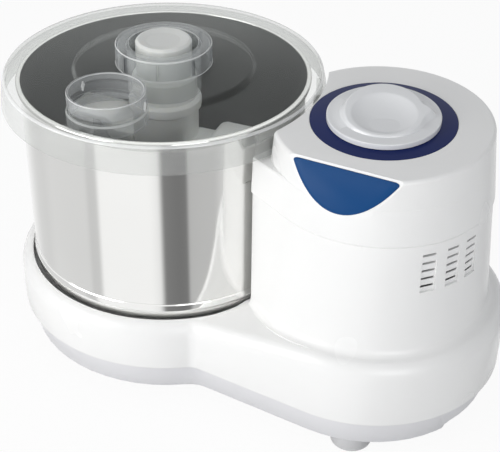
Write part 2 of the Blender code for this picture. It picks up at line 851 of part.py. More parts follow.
def make_dial():
    low = dial_ring_proud - dial_ring_thickness
    top = dial_ring_proud
    ring("dial_ring", dial_ring_radius, dial_ring_bore, low, top, big_steps, "navy_ring", dial_frame)
    width = timer_width / 2
    roof = -top_wall - seat_gap
    block("timer_module", (-width, -width, roof - timer_height), (width, width, roof), "black_plastic",
          dial_frame, rounding=edge_round)
    shaft_hole = rod("timer_bore", timer_shaft_radius + pin_gap, roof - timer_shaft_reach, overrun,
                     small_steps, frame=dial_frame)
    cut(bpy.data.objects["timer_module"], shaft_hole)


def grip_outline():
    """The grip seen from above: a round with a pointer nose to the right."""
    flank = math.asin(grip_nose_width / grip_radius)
    round_part = arc((0, 0), grip_radius, 2 * flank, full_turn - 2 * flank, big_steps // 2)
    centre = (grip_nose_reach - grip_nose_width, 0)
    return round_part + arc(centre, grip_nose_width, -quarter_turn, quarter_turn, waist_arc_steps)


def make_timer_knob():
    base = dial_ring_proud + seat_gap
    top = base + knob_flange_height
    profile = [(0, top), (knob_radius - knob_edge_round, top), (knob_radius, top - knob_edge_round)]
    profile += [(knob_radius, base + knob_edge_round), (knob_radius - knob_edge_round, base), (0, base)]
    knob = turned("timer_knob", profile, big_steps, "white_knob", dial_frame)
    roof = top + grip_back_height
    frame = dial_frame @ Matrix.Rotation(knob_turn, 4, "Z")
    outline = grip_outline()
    roof_outline = [(x * grip_roof_share, y * grip_roof_share + grip_roof_shift) for x, y in outline]
    grip = prism("knob_grip", outline, base + knob_edge_round, roof + edge_round, frame=frame,
                 roof_outline=roof_outline)
    fall = math.atan2(grip_back_height - grip_front_height, 2 * grip_radius)
    slant = frame @ at(0, grip_radius, roof) @ Matrix.Rotation(fall, 4, "X")
    reach = 2 * grip_radius + 2 * overrun
    cut(grip, block("grip_slant", (-reach, -reach, 0), (reach, overrun * 2, reach), frame=slant))
    soften(grip, grip_edge_round, 2, steep_bevel_angle)
    bowl_rise = math.sqrt(bowl_radius**2 - bowl_rim_radius**2)
    bowl_frame = slant @ at(0, -(grip_radius + bowl_shift) / math.cos(fall), bowl_rise)

    def build(shape):
        rows = middle_steps // 2
        bmesh.ops.create_uvsphere(shape, u_segments=middle_steps, v_segments=rows, radius=bowl_radius)

    bowl = place("grip_bowl", mesh_from("grip_bowl", build), frame=bowl_frame)
    join(knob, grip)
    cut(knob, bowl)
    shaft_low = -top_wall - seat_gap - timer_shaft_reach + pin_gap
    shaft_top = base + knob_flange_height / 2
    bore = timer_shaft_radius + pin_gap
    cut(knob, rod("knob_bore", bore, -overrun, shaft_top + seat_gap, small_steps, frame=dial_frame))
    rod("timer_shaft", timer_shaft_radius, shaft_low, shaft_top, small_steps, "bright_steel", dial_frame)


def make_gland():
    """A grommet in the back wall. Its axis points out of the back."""
    wall_out = seat_gap
    wall_in = -moulding_wall - 3 * seat_gap
    out = wall_out + gland_flange_thickness
    inner = wall_in - gland_flange_thickness
    rim = gland_flange_radius - edge_round
    profile = [(gland_bore_radius, out), (rim, out), (gland_flange_radius, out - edge_round)]
    profile += [(gland_flange_radius, wall_out), (gland_body_radius, wall_out), (gland_body_radius, wall_in)]
    profile += [(gland_flange_radius, wall_in), (gland_flange_radius, inner), (gland_bore_radius, inner)]
    frame = at(tower_x, tower_end_radius, gland_z) @ Matrix.Rotation(-quarter_turn, 4, "X")
    turned("cord_gland", profile, small_steps, "black_plastic", frame, closed=True)


def make_drum():
    inner = drum_radius - drum_wall
    bead_centre = (drum_radius + drum_bead_radius - drum_wall, drum_rim_z - drum_bead_radius)
    floor = drum_bottom_z + drum_wall
    profile = [(0, floor), (inner - drum_band_round, floor), (inner, floor + drum_band_round)]
    profile += [(inner, bead_centre[1])]
    profile += arc(bead_centre, drum_bead_radius, math.pi, -quarter_turn / 2, drum_bead_steps)[1:]
    profile += [(drum_radius, bead_centre[1] - drum_bead_radius - drum_wall)]
    band = drum_radius + drum_band_proud
    profile += [(drum_radius, drum_band_z), (band - crease_height / 2, drum_band_z - crease_height)]
    profile += [(band, drum_band_z - drum_band_round), (band, drum_bottom_z + drum_band_round)]
    profile += [(band - drum_band_round / 3, drum_bottom_z + drum_band_round / 3)]
    profile += [(band - drum_band_round, drum_bottom_z), (0, drum_bottom_z)]
    turned("drum_shell", profile, big_steps, "steel", at(drum_x))


def make_stone_floor():
    low = drum_bottom_z + drum_wall + seat_gap
    top = stone_floor_top_z
    rim = stone_floor_radius
    profile = [(stone_floor_bore, top), (rim - stone_chamfer, top), (rim, top - stone_chamfer)]
    profile += [(rim, low), (stone_floor_bore, low)]
    turned("stone_floor", profile, big_steps, "stone", at(drum_x), closed=True)
    flange = stone_floor_bore - seat_gap
    stud_top = post_shoulder_z + post_stud_length
    foot_top = low + post_flange_thickness
    profile = [(0, stud_top), (post_stud_radius - edge_round, stud_top)]
    profile += [(post_stud_radius, stud_top - edge_round), (post_stud_radius, post_shoulder_z)]
    profile += [(post_radius, post_shoulder_z), (post_radius, foot_top), (flange, foot_top), (flange, low)]
    profile += [(0, low)]
    turned("centre_post", profile, middle_steps, "steel", at(drum_x))


def hexagon(radius):
    turns = [full_turn * i / 6 for i in range(6)]
    return [(radius * math.cos(turn), radius * math.sin(turn)) for turn in turns]


def make_coupling():
    """A hexagonal cup under the drum, and the hexagonal driver that turns it."""
    top = drum_bottom_z - seat_gap
    low = top - coupling_height
    cup = rod("drum_coupling", coupling_radius, low, top, middle_steps, "black_plastic", at(drum_x))
    frame = at(drum_x)
    roof = top - coupling_roof
    cut(cup, prism("coupling_socket", hexagon(coupling_hex_radius + pin_gap), low - overrun, roof, frame=frame))
    driver_top = roof - seat_gap
    driver = prism("drive_coupler", hexagon(coupling_hex_radius), low, driver_top, "cast_aluminium", frame)
    spindle_top = driver_top - edge_round
    bore = spindle_radius + seat_gap
    cut(driver, rod("coupler_bore", bore, 0, spindle_top + seat_gap, small_steps, frame=frame))
    rod("spindle_shaft", spindle_radius, spindle_bottom_z, spindle_top, middle_steps, "bright_steel", frame)


def pulley_profile(radius, hub, bore, web):
    """A flanged pulley round the belt's height. A wide one has a thin web between its hub and rim."""
    belt_top = belt_centre_z + belt_width / 2 + seat_gap
    belt_low = belt_centre_z - belt_width / 2 - seat_gap
    groove = radius - seat_gap
    lip = radius + pulley_flange_proud
    top = belt_top + pulley_flange_height
    low = belt_low - pulley_flange_height
    outer = [(lip, top), (lip, belt_top), (groove, belt_top), (groove, belt_low), (lip, belt_low), (lip, low)]
    if not web:
        return [(bore, top)] + outer + [(bore, low)]
    rim = radius - driven_pulley_rim
    middle = belt_centre_z
    above = [(bore, top), (hub, top), (hub, middle + web / 2), (rim, middle + web / 2), (rim, top)]
    below = [(rim, low), (rim, middle - web / 2), (hub, middle - web / 2), (hub, low), (bore, low)]
    return above + outer + below


def make_pulleys():
    bore = spindle_radius + seat_gap
    profile = pulley_profile(driven_pulley_radius, pulley_hub_radius, bore, driven_pulley_web)
    turned("driven_pulley", profile, middle_steps, "cast_aluminium", at(drum_x), closed=True)
    profile = pulley_profile(motor_pulley_radius, 0, motor_shaft_radius + seat_gap, 0)
    turned("motor_pulley", profile, inner_steps, "cast_aluminium", at(tower_x), closed=True)


def belt_loop(offset):
    """The belt's path round both pulleys, moved out by the offset, as a closed outline."""
    big = driven_pulley_radius + offset
    small = motor_pulley_radius + offset
    lean = math.acos((driven_pulley_radius - motor_pulley_radius) / axis_distance)
    points = arc((drum_x, 0), big, lean, full_turn - lean, middle_steps)
    points += arc((tower_x, 0), small, -lean, lean, small_steps)
    return points


def make_belt():
    low = belt_centre_z - belt_width / 2
    high = belt_centre_z + belt_width / 2
    belt = prism("drive_belt", belt_loop(belt_thickness), low, high, "rubber")
    cut(belt, prism("belt_inside", belt_loop(seat_gap), low - overrun, high + overrun))


def make_spindle_bearings():
    """A tube with a flange under the pit's floor. Two ball bearings sit in it and carry the spindle."""
    flange_top = pit_floor_z - pit_floor_thickness - seat_gap
    top = drum_bottom_z - coupling_height - 2 * seat_gap - edge_round
    low = top - 2 * bearing_height - bearing_spacer - 2 * bearing_lip
    seat = bearing_outer_radius + seat_gap
    throat = bearing_outer_radius - 2 * bearing_lip
    shelf = low + bearing_lip
    tube = bearing_tube_radius
    flange_low = flange_top - bearing_flange_thickness
    profile = [(seat, top), (tube, top), (tube, flange_top), (bearing_flange_radius, flange_top)]
    profile += [(bearing_flange_radius, flange_low), (tube, flange_low)]
    profile += [(tube, low), (throat, low), (throat, shelf), (seat, shelf)]
    turned("bearing_housing", profile, inner_steps, "cast_aluminium", at(drum_x), closed=True)
    starts = {"lower_bearing": shelf + seat_gap, "upper_bearing": top - bearing_lip - bearing_height}
    bore = spindle_radius + seat_gap
    for name, start in starts.items():
        end = start + bearing_height
        ring(name, bearing_outer_radius, bore, start, end, inner_steps, "bright_steel", at(drum_x))


def make_motor():
    tower = at(tower_x)
    plate_top = motor_plate_z + motor_plate_thickness
    ring("motor_plate", motor_plate_radius, motor_plate_bore, motor_plate_z, plate_top, inner_steps,
         "bright_steel", tower)
    bracket_low = plate_top + seat_gap
    stator_low = bracket_low + bracket_height + seat_gap
    stator_top = stator_low + stator_height
    bracket_top = stator_top + seat_gap + bracket_height
    shaft_hole = motor_shaft_radius + running_gap
    seat = motor_bearing_outer + seat_gap
    boss = motor_bearing_outer + bracket_wall
    inside = stator_radius - bracket_wall
    for name, mirror in (("lower_motor_bracket", 1), ("upper_motor_bracket", -1)):
        wall = bracket_height
        pocket = bracket_wall + motor_bearing_height
        up = [(inside, wall), (stator_radius, wall), (stator_radius, 0), (shaft_hole, 0)]
        up += [(shaft_hole, bracket_wall), (seat, bracket_wall), (seat, pocket), (boss, pocket)]
        up += [(boss, bracket_wall), (inside, bracket_wall)]
        start = bracket_low if mirror > 0 else bracket_top
        loop = [(radius, start + mirror * height) for radius, height in up]
        turned(name, loop if mirror > 0 else loop[::-1], inner_steps, "cast_aluminium", tower, closed=True)
    ring("stator_core", stator_radius, stator_bore, stator_low, stator_top, inner_steps, "bright_steel", tower)
    winding_outer = inside - seat_gap
    winding_inner = winding_outer - winding_thickness
    upper = stator_top + seat_gap
    lower = stator_low - seat_gap - winding_height
    for name, low in (("upper_winding", upper), ("lower_winding", lower)):
        ring(name, winding_outer, winding_inner, low, low + winding_height, inner_steps, "copper", tower)
    low_bearing = bracket_low + bracket_wall + seat_gap
    high_bearing = bracket_top - bracket_wall - seat_gap - motor_bearing_height
    bore = motor_shaft_radius + seat_gap
    for name, low in (("lower_motor_bearing", low_bearing), ("upper_motor_bearing", high_bearing)):
        high = low + motor_bearing_height
        ring(name, motor_bearing_outer, bore, low, high, small_steps, "bright_steel", tower)
    ring("rotor_core", rotor_radius, bore, stator_low, stator_top, inner_steps, "bright_steel", tower)
    fan_low = bracket_top + 2 * running_gap
    fan_top = fan_low + fan_height
    shaft_top = fan_top + edge_round
    rod("motor_shaft", motor_shaft_radius, motor_shaft_bottom_z, shaft_top, small_steps, "bright_steel", tower)
    make_fan(fan_low, fan_top)
    x = tower_x + capacitor_circle * math.cos(capacitor_angle)
    y = capacitor_circle * math.sin(capacitor_angle)
    profile_top = bracket_low + capacitor_height
    rim = capacitor_radius - edge_round
    profile = [(0, profile_top), (rim, profile_top), (capacitor_radius, profile_top - edge_round)]
    profile += [(capacitor_radius, bracket_low), (0, bracket_low)]
    turned("motor_capacitor", profile, small_steps, "white_knob", at(x, y))


def make_fan(low, top):
    tower = at(tower_x)
    bore = motor_shaft_radius + seat_gap
    disc = low + fan_disc_thickness
    loop = [(bore, top), (fan_hub_radius, top), (fan_hub_radius, disc), (fan_radius, disc)]
    loop += [(fan_radius, low), (bore, low)]
    fan = turned("cooling_fan", loop, middle_steps, "black_plastic", tower, closed=True)
    for number in range(fan_blades):
        turn = Matrix.Rotation(full_turn * number / fan_blades, 4, "Z")
        corner = (fan_hub_radius - edge_round, -fan_blade_thickness / 2, disc - hidden_step)
        far = (fan_radius - edge_round, fan_blade_thickness / 2, top - edge_round)
        join(fan, block(f"fan_blade_{number}", corner, far, frame=tower @ turn))


def roller_frames():
    """A frame for each roller: its Z runs out along the cone's axis from the cones' common point."""
    lean = Matrix.Rotation(quarter_turn - cone_half_angle, 4, "Y")
    frames = []
    for number in (0, 1):
        spin = Matrix.Rotation(roller_line_angle + number * math.pi, 4, "Z")
        frames.append(Matrix.Translation(roller_point) @ spin @ lean)
    return frames


def make_rollers():
    spread = math.tan(cone_half_angle)
    end = roller_start + roller_length
    bush_outer = axle_radius + pin_gap + roller_bush_wall
    bore = bush_outer + seat_gap
    for number, frame in enumerate(roller_frames(), start=1):
        small = roller_start * spread
        large = end * spread
        slant = roller_chamfer * spread
        profile = [(bore, end), (large - roller_chamfer, end), (large - slant, end - roller_chamfer)]
        profile += [(small + slant, roller_start + roller_chamfer)]
        profile += [(small - roller_chamfer, roller_start), (bore, roller_start)]
        turned(f"roller_stone_{number}", profile, middle_steps, "stone", frame, closed=True)
        ring(f"roller_bush_{number}", bush_outer, axle_radius + pin_gap, roller_start, end, small_steps,
             "milky_plastic", frame)
        washer = end + seat_gap
        ring(f"thrust_washer_{number}", washer_radius, axle_radius + seat_gap, washer,
             washer + washer_thickness, small_steps, "milky_plastic", frame)
        pin_start = holder_radius / math.cos(cone_half_angle) - axle_embed
        pin_end = end + 2 * seat_gap + washer_thickness + arm_thickness - edge_round
        rod(f"axle_pin_{number}", axle_radius, pin_start, pin_end, small_steps, "bright_steel", frame)


def arm_outline():
    """Side view of one arm: a low shoulder at the tube, a step up over the roller, and a leg down to the axle's
    end. X is the distance from the drum's axis."""
    end = roller_start + roller_length + 2 * seat_gap + washer_thickness
    slope = Vector((math.cos(cone_half_angle), math.sin(cone_half_angle)))
    across = Vector((slope.y, -slope.x))
    axle_end = Vector((0, roller_point.z)) + slope * end
    boss_top = axle_end - across * axle_boss_half_height
    boss_foot = axle_end + across * axle_boss_half_height
    outer_foot = boss_foot + slope * arm_thickness
    outer_top = boss_top + slope * arm_thickness
    root = holder_radius - arm_thickness
    step = arm_shoulder_reach + arm_thickness
    under = arm_top_z - arm_thickness
    low = arm_shoulder_z - 2 * arm_thickness
    leg_inside = outer_top.x - arm_thickness
    below = [(root, low), (step, low), (step + arm_rise_run, under), (leg_inside, under)]
    leg = [(leg_inside, boss_top.y + arm_thickness), tuple(boss_top), tuple(boss_foot), tuple(outer_foot)]
    leg += [tuple(outer_top)]
    rise = (arm_shoulder_reach + arm_rise_run / 2, arm_top_z - arm_round)
    above = [(outer_top.x, arm_top_z), (arm_shoulder_reach + arm_rise_run, arm_top_z), rise]
    return below + leg + above + [(arm_shoulder_reach, arm_shoulder_z), (root, arm_shoulder_z)]


def make_holder():
    flange_low = holder_flange_z - holder_flange_height
    rim = holder_flange_radius
    profile = [(holder_bore, hub_top_z), (hub_radius - holder_round, hub_top_z)]
    profile += [(hub_radius, hub_top_z - holder_round), (hub_radius, holder_flange_z)]
    profile += [(rim - holder_round, holder_flange_z), (rim, holder_flange_z - holder_round)]
    profile += [(rim, flange_low + holder_round), (holder_radius, flange_low)]
    profile += [(holder_radius, holder_bottom_z), (holder_bore, holder_bottom_z)]
    holder = turned("roller_holder", profile, middle_steps, "milky_plastic", at(drum_x), closed=True)
    for number in (0, 1):
        spin = Matrix.Rotation(roller_line_angle + number * math.pi, 4, "Z")
        upright = at(drum_x) @ spin @ Matrix.Rotation(quarter_turn, 4, "X")
        arm = prism(f"holder_arm_{number}", arm_outline(), -arm_width / 2, arm_width / 2, frame=upright)
        soften(arm, arm_round, 2)
        join(holder, arm)
    for number, frame in enumerate(roller_frames()):
        pin_start = holder_radius / math.cos(cone_half_angle) - axle_embed - seat_gap
        bore = axle_radius + seat_gap
        cut(holder, rod(f"axle_hole_{number}", bore, pin_start, axis_distance, small_steps, frame=frame))
    ring("hub_bush", holder_bore - seat_gap, post_radius + pin_gap, bush_start_z, bush_start_z + bush_length,
         middle_steps, "milky_plastic", at(drum_x))
    merge_flats(holder)


def make_scraper():
    """A thin blade across the drum from the holder to the wall, its lower edge just over the stone floor."""
    turn = Matrix.Rotation(roller_line_angle + quarter_turn, 4, "Z") @ Matrix.Rotation(quarter_turn, 4, "X")
    low = stone_floor_top_z + scraper_foot_gap
    root = holder_radius + seat_gap
    tip = low + scraper_tip_height
    shoulder = root + scraper_round
    corner = (scraper_reach - scraper_round, tip + scraper_round)
    outline = [(root, low), (scraper_reach, low), (scraper_reach, tip), corner]
    outline += [(shoulder + scraper_round, scraper_top_z), (root, scraper_top_z)]
    width = scraper_thickness / 2
    prism("scraper_blade", outline, -width, width, "milky_plastic", at(drum_x) @ turn)


def make_lock_knob():
    low = hub_top_z + seat_gap
    top = lock_knob_top_z
    rim = lock_knob_radius - lock_knob_chamfer
    bore = post_stud_radius + pin_gap
    bore_top = post_shoulder_z + post_stud_length + seat_gap
    profile = [(0, top - lock_knob_dish), (rim - lock_knob_chamfer, top - lock_knob_dish / 3), (rim, top)]
    profile += [(lock_knob_radius, top - lock_knob_chamfer), (lock_knob_radius, low), (bore, low)]
    profile += [(bore, bore_top), (0, bore_top)]
    turned("lock_knob", profile, lock_knob_facets, "milky_plastic", at(drum_x))


def lid_profile():
    wall = lid_wall
    top = lid_top_z
    deck = top + plateau_height
    roof = collar_top_z
    under = top - wall
    outer = lid_radius
    over = [(collar_bore, roof), (collar_radius - collar_round, roof)]
    over += [(collar_radius, roof - collar_round), (collar_radius, deck)]
    over += [(plateau_radius, deck), (plateau_radius + plateau_slope, top)]
    over += [(outer - lid_round, top), (outer, top - lid_round), (lid_skirt_radius, lid_skirt_z)]
    below = [(lid_skirt_radius - wall, lid_skirt_z), (outer - wall, under - lid_round / 2)]
    below += [(outer - lid_round, under), (plateau_radius + plateau_slope - wall / 2, under)]
    below += [(plateau_radius - wall / 2, deck - wall), (collar_radius - wall, deck - wall)]
    below += [(collar_radius - wall, roof - wall), (collar_bore + wall, roof - wall)]
    below += [(collar_bore + wall, collar_foot_z), (collar_bore, collar_foot_z)]
    return over + below


def chute_floor_outline():
    """The part of the chute's floor that is closed: a ledge on the side towards the collar."""
    radius = chute_radius - lid_wall / 3
    start = math.asin(chute_chord / radius)
    return arc((0, 0), radius, start, math.pi - start, middle_steps // 2)


def make_lid():
    lid = turned("drum_lid", lid_profile(), big_steps, "clear_plastic", at(drum_x), closed=True)
    spot = at(drum_x + chute_offset_x, chute_offset_y) @ Matrix.Rotation(chute_chord_angle, 4, "Z")
    top = chute_top_z
    step = chute_step_z
    low = chute_bottom_z
    outer = chute_radius + chute_step
    inner = chute_radius - lid_wall
    wall = [(inner, top), (chute_radius, top), (chute_radius, step), (outer, step - chute_step), (outer, low)]
    wall += [(outer - lid_wall, low), (outer - lid_wall, step - lid_wall), (inner, step)]
    tube = turned("chute_wall", wall, middle_steps, frame=spot, closed=True)
    floor_top = step + lid_wall / 4
    floor_low = floor_top - lid_wall
    join(tube, prism("chute_floor", chute_floor_outline(), floor_low, floor_top, frame=spot))
    clearing = chute_radius - lid_wall / 2
    cut(lid, rod("chute_clearing", clearing, low, top + overrun, middle_steps, frame=spot))
    join(lid, tube)
    for side in (-1, 1):
        turn = Matrix.Rotation(side * lug_angle, 4, "Z")
        low_corner = (lug_inner_radius, -lug_half_width, ledge_z + seat_gap)
        high_corner = (lid_radius - lid_wall / 2, lug_half_width, lid_top_z - lid_wall / 2)
        join(lid, block(f"lid_lug_{side + 1}", low_corner, high_corner, frame=at(drum_x) @ turn))
    deck = lid_top_z + plateau_height
    boxes = []
    for number in range(collar_slots):
        turn = Matrix.Rotation(full_turn * (number + 0.5) / collar_slots, 4, "Z")
        frame = at(drum_x) @ turn @ at(collar_radius, 0, deck + collar_slot_height / 2 + edge_round)
        boxes.append((frame, 3 * lid_wall, collar_slot_width, collar_slot_height))
    cut(lid, boxes_mesh("collar_slots", boxes))
    merge_flats(lid)


def main():
    clear_scene()
    make_tray()
    make_feet()
    make_body()
    make_top_cover()
    make_badge()
    make_dial()
    make_timer_knob()
    make_gland()
    make_drum()
    make_stone_floor()
    make_coupling()
    make_pulleys()
    make_belt()
    make_spindle_bearings()
    make_motor()
    make_rollers()
    make_holder()
    make_scraper()
    make_lock_knob()
    make_lid()


main()
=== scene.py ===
# %% [markdown]
# # A wet grinder, dressed for a photograph
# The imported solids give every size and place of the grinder. This notebook puts finer skins over the ones that
# show, gives each surface a finish of its own, and sets up the studio. Shapes are written in millimetres and made
# in metres, because a maker thinks of a lid as 2 mm thick and not as 0.002.

# %% Load the frame
import json
import math

import bmesh
import bpy
from mathutils import Matrix, Vector


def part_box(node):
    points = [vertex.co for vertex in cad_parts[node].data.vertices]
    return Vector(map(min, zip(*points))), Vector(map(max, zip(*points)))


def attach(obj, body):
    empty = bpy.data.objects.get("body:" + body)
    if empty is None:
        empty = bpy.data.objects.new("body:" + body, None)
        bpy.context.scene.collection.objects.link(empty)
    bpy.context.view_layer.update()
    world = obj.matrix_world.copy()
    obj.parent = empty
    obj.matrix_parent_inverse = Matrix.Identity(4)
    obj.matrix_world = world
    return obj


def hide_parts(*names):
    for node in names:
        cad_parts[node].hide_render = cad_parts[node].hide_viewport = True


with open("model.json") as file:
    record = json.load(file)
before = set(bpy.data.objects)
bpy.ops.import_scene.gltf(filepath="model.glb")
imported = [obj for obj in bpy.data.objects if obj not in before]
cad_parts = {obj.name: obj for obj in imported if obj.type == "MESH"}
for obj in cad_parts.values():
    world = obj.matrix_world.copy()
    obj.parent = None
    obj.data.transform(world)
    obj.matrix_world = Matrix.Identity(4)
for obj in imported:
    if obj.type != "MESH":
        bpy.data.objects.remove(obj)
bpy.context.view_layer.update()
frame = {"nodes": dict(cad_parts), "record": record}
mm = 0.001
full_turn = 2 * math.pi
quarter_turn = math.pi / 2


# %% Where the two axes stand
def middle_of(node):
    """Middle of a solid's box, in millimetres."""
    low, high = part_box(node)
    return (low + high) / 2 / mm


drum_x = middle_of("drum_shell").x
tower_x = middle_of("motor_shaft").x
drum_place = Matrix.Translation((drum_x, 0, 0))
print("drum axis", round(drum_x, 2), "tower axis", round(tower_x, 2))

# %% [markdown]
# ## Tools for shapes
# Most of the grinder is turned, like work on a lathe: a drum, a lid, a knob. The rest is drawn as a stack of outlines
# with a skin over them. Real edges are never sharp, so the first helper rounds the corners of any line.


# %% Lines with rounded corners
side_share = 0.48


def rounded(points, closed=False, steps=6):
    """A line through (x, y) or (x, y, radius) points, with an arc at each corner that has a radius.

    An arc never takes more than side_share of the sides that it joins.
    """
    line = []
    for i, point in enumerate(points):
        corner = Vector(point[:2])
        if len(point) < 3 or (not closed and i in (0, len(points) - 1)):
            line.append(corner)
            continue
        before = Vector(points[i - 1][:2]) - corner
        after = Vector(points[(i + 1) % len(points)][:2]) - corner
        half = before.angle(after) / 2
        reach = min(point[2] / math.tan(half), before.length * side_share, after.length * side_share)
        start = corner + before.normalized() * reach
        end = corner + after.normalized() * reach
        centre = corner + (before.normalized() + after.normalized()).normalized() * (reach / math.cos(half))
        first = math.atan2(start.y - centre.y, start.x - centre.x)
        turn = math.atan2(end.y - centre.y, end.x - centre.x) - first
        turn -= full_turn * round(turn / full_turn)
        radius = (start - centre).length
        for step in range(steps + 1):
            angle = first + turn * step / steps
            line.append(centre + Vector((math.cos(angle), math.sin(angle))) * radius)
    return line


def arc(centre, radius, start, end, steps):
    """Points of an arc, as (x, y) pairs."""
    turns = [start + (end - start) * i / steps for i in range(steps + 1)]
    return [(centre[0] + radius * math.cos(a), centre[1] + radius * math.sin(a)) for a in turns]


# %% Turned shapes and skins over rings
on_axis = 1e-6


def turned(profile, steps, place=Matrix(), closed=True):
    """Points and faces of a turned shape. An open profile starts and ends on the axis."""
    points, rows, faces = [], [], []
    for radius, height in profile:
        if radius < on_axis:
            rows.append([len(points)] * steps)
            points.append(place @ Vector((0, 0, height)))
            continue
        rows.append(range(len(points), len(points) + steps))
        for i in range(steps):
            angle = full_turn * i / steps
            points.append(place @ Vector((radius * math.cos(angle), radius * math.sin(angle), height)))
    following = rows[1:] + [rows[0]] if closed else rows[1:]
    for row, after in zip(rows, following):
        for i in range(steps):
            j = (i + 1) % steps
            face = list(dict.fromkeys((row[i], row[j], after[j], after[i])))
            if len(face) > 2:
                faces.append(face)
    return points, faces


def skin(rings, strips=False):
    """A closed skin over rings with equal counts. Strips close an end that isn't flat, from front to back."""
    points = [Vector(p) for ring in rings for p in ring]
    count = len(rings[0])
    faces = []
    for r in range(len(rings) - 1):
        for i in range(count):
            j = (i + 1) % count
            faces.append([r * count + i, r * count + j, (r + 1) * count + j, (r + 1) * count + i])
    for base in (0, (len(rings) - 1) * count):
        if strips:
            for i in range(count // 2):
                ends = [base + i, base + i + 1, base + (count - i - 1) % count, base + (count - i) % count]
                faces.append(list(dict.fromkeys(ends)))
        else:
            faces.append(list(range(base, base + count)))
    return points, faces


# %% Solids, cuts and pieces
def solid(name, shape, material_index=0):
    """A mesh object from points in millimetres, with its faces turned outwards."""
    points, faces = shape
    made = bmesh.new()
    corners = [made.verts.new(Vector(p) * mm) for p in points]
    for face in faces:
        made.faces.new([corners[i] for i in face]).material_index = material_index
    bmesh.ops.recalc_face_normals(made, faces=made.faces)
    mesh = bpy.data.meshes.new(name)
    made.to_mesh(mesh)
    made.free()
    thing = bpy.data.objects.new(name, mesh)
    bpy.context.scene.collection.objects.link(thing)
    return thing


def block(name, low, high, place=Matrix()):
    """A box between two corners, in millimetres."""
    points = [place @ Vector((x, y, z)) for z in (low[2], high[2]) for x in (low[0], high[0])
              for y in (low[1], high[1])]
    faces = [(0, 1, 3, 2), (4, 6, 7, 5), (0, 4, 5, 1), (2, 3, 7, 6), (0, 2, 6, 4), (1, 5, 7, 3)]
    return solid(name, (points, faces))


def apply_modifiers(thing):
    """Swap the mesh for the one that the modifiers make."""
    view = bpy.context.evaluated_depsgraph_get()
    mesh = bpy.data.meshes.new_from_object(thing.evaluated_get(view))
    thing.modifiers.clear()
    thing.data = mesh
    return mesh


def carve(target, operation, *tools):
    """Exact Booleans one after another. Each tool is removed, and faces with many corners become triangles."""
    for tool in tools:
        step = target.modifiers.new("carve", "BOOLEAN")
        step.operation = operation
        step.object = tool
        step.solver = "EXACT"
        mesh = apply_modifiers(target)
        bpy.data.objects.remove(tool)
        made = bmesh.new()
        made.from_mesh(mesh)
        bmesh.ops.triangulate(made, faces=[f for f in made.faces if len(f.verts) > 4])
        made.to_mesh(mesh)
        made.free()
    return target


def piece(thing, finish, body, stands_for=(), sharp=32):
    """Smooth shading, a finish, the body it rides on and the solids it stands for."""
    thing.data.materials.clear()
    for material in finish if isinstance(finish, (list, tuple)) else [finish]:
        thing.data.materials.append(material)
    thing.data.shade_smooth()
    thing.data.set_sharp_from_angle(angle=math.radians(sharp))
    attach(thing, body)
    if stands_for:
        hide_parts(*stands_for)
    print("piece", thing.name, len(thing.data.polygons), "faces")
    return thing


# %% [markdown]
# ## Tools for finishes
# A finish is a small sum of layers: a colour, a little unevenness in it, a bump too fine to model. Written as Python
# sums those layers stay readable, so one class wraps a socket and turns `1 - mask` into the Math node that it means.


# %% Sockets that take sums and products
class Wire:
    """A socket of a finish. Arithmetic on wires adds their Math nodes."""

    def __init__(self, finish, socket):
        self.finish = finish
        self.socket = socket

    def maths(self, operation, first, second):
        return self.finish.node("ShaderNodeMath", {"operation": operation}, {0: first, 1: second})

    def __add__(self, other):
        return self.maths("ADD", self, other)

    __radd__ = __add__

    def __mul__(self, other):
        return self.maths("MULTIPLY", self, other)

    __rmul__ = __mul__

    def __sub__(self, other):
        return self.maths("SUBTRACT", self, other)

    def __rsub__(self, other):
        return self.maths("SUBTRACT", other, self)

    def most(self, other):
        return self.maths("MAXIMUM", self, other)

    def power(self, exponent):
        return self.maths("POWER", self, exponent)


class Finish:
    """The nodes of a material, or of the room round the grinder, all made by one method."""

    def __init__(self, name, room=False):
        self.owner = bpy.data.worlds.new(name) if room else bpy.data.materials.new(name)
        self.owner.use_nodes = True
        self.tree = self.owner.node_tree
        self.tree.nodes.clear()

    def node(self, kind, settings=None, values=None, output=0):
        made = self.tree.nodes.new(kind)
        for key, value in (settings or {}).items():
            if key == "stops":
                ramp = made.color_ramp.elements
                while len(ramp) < len(value):
                    ramp.new(0.5)
                for stop, (position, colour) in zip(ramp, value):
                    stop.position = position
                    stop.color = colour
            else:
                setattr(made, key, value)
        for key, value in (values or {}).items():
            if isinstance(value, Wire):
                self.tree.links.new(value.socket, made.inputs[key])
            else:
                made.inputs[key].default_value = value
        return Wire(self, made.outputs[output]) if made.outputs else None

    def here(self):
        """Metres in the piece's own frame, so a pattern moves with its piece."""
        return self.node("ShaderNodeTexCoord", output=3)

    def noise(self, scale, detail=3, place=None, stretch=None):
        spot = place or self.here()
        if stretch:
            spot = self.node("ShaderNodeMapping", values={"Vector": spot, "Scale": stretch})
        return self.node("ShaderNodeTexNoise", values={"Vector": spot, "Scale": scale, "Detail": detail})

    def blend(self, share, first, second):
        """A colour between two others."""
        settings = {"data_type": "RGBA"}
        return self.node("ShaderNodeMix", settings, {0: share, 6: first, 7: second}, output=2)

    def bump(self, height, strength, depth):
        values = {"Strength": strength, "Distance": depth, "Height": height}
        return self.node("ShaderNodeBump", values=values)

    def principled(self, **values):
        named = {key.replace("_", " "): value for key, value in values.items()}
        return self.node("ShaderNodeBsdfPrincipled", values=named)

    def done(self, surface):
        room = isinstance(self.owner, bpy.types.World)
        kind = "ShaderNodeOutputWorld" if room else "ShaderNodeOutputMaterial"
        self.node(kind, values={"Surface": surface})
        return self.owner


def grey(level, tint=(1, 1, 1)):
    return (level * tint[0], level * tint[1], level * tint[2], 1)


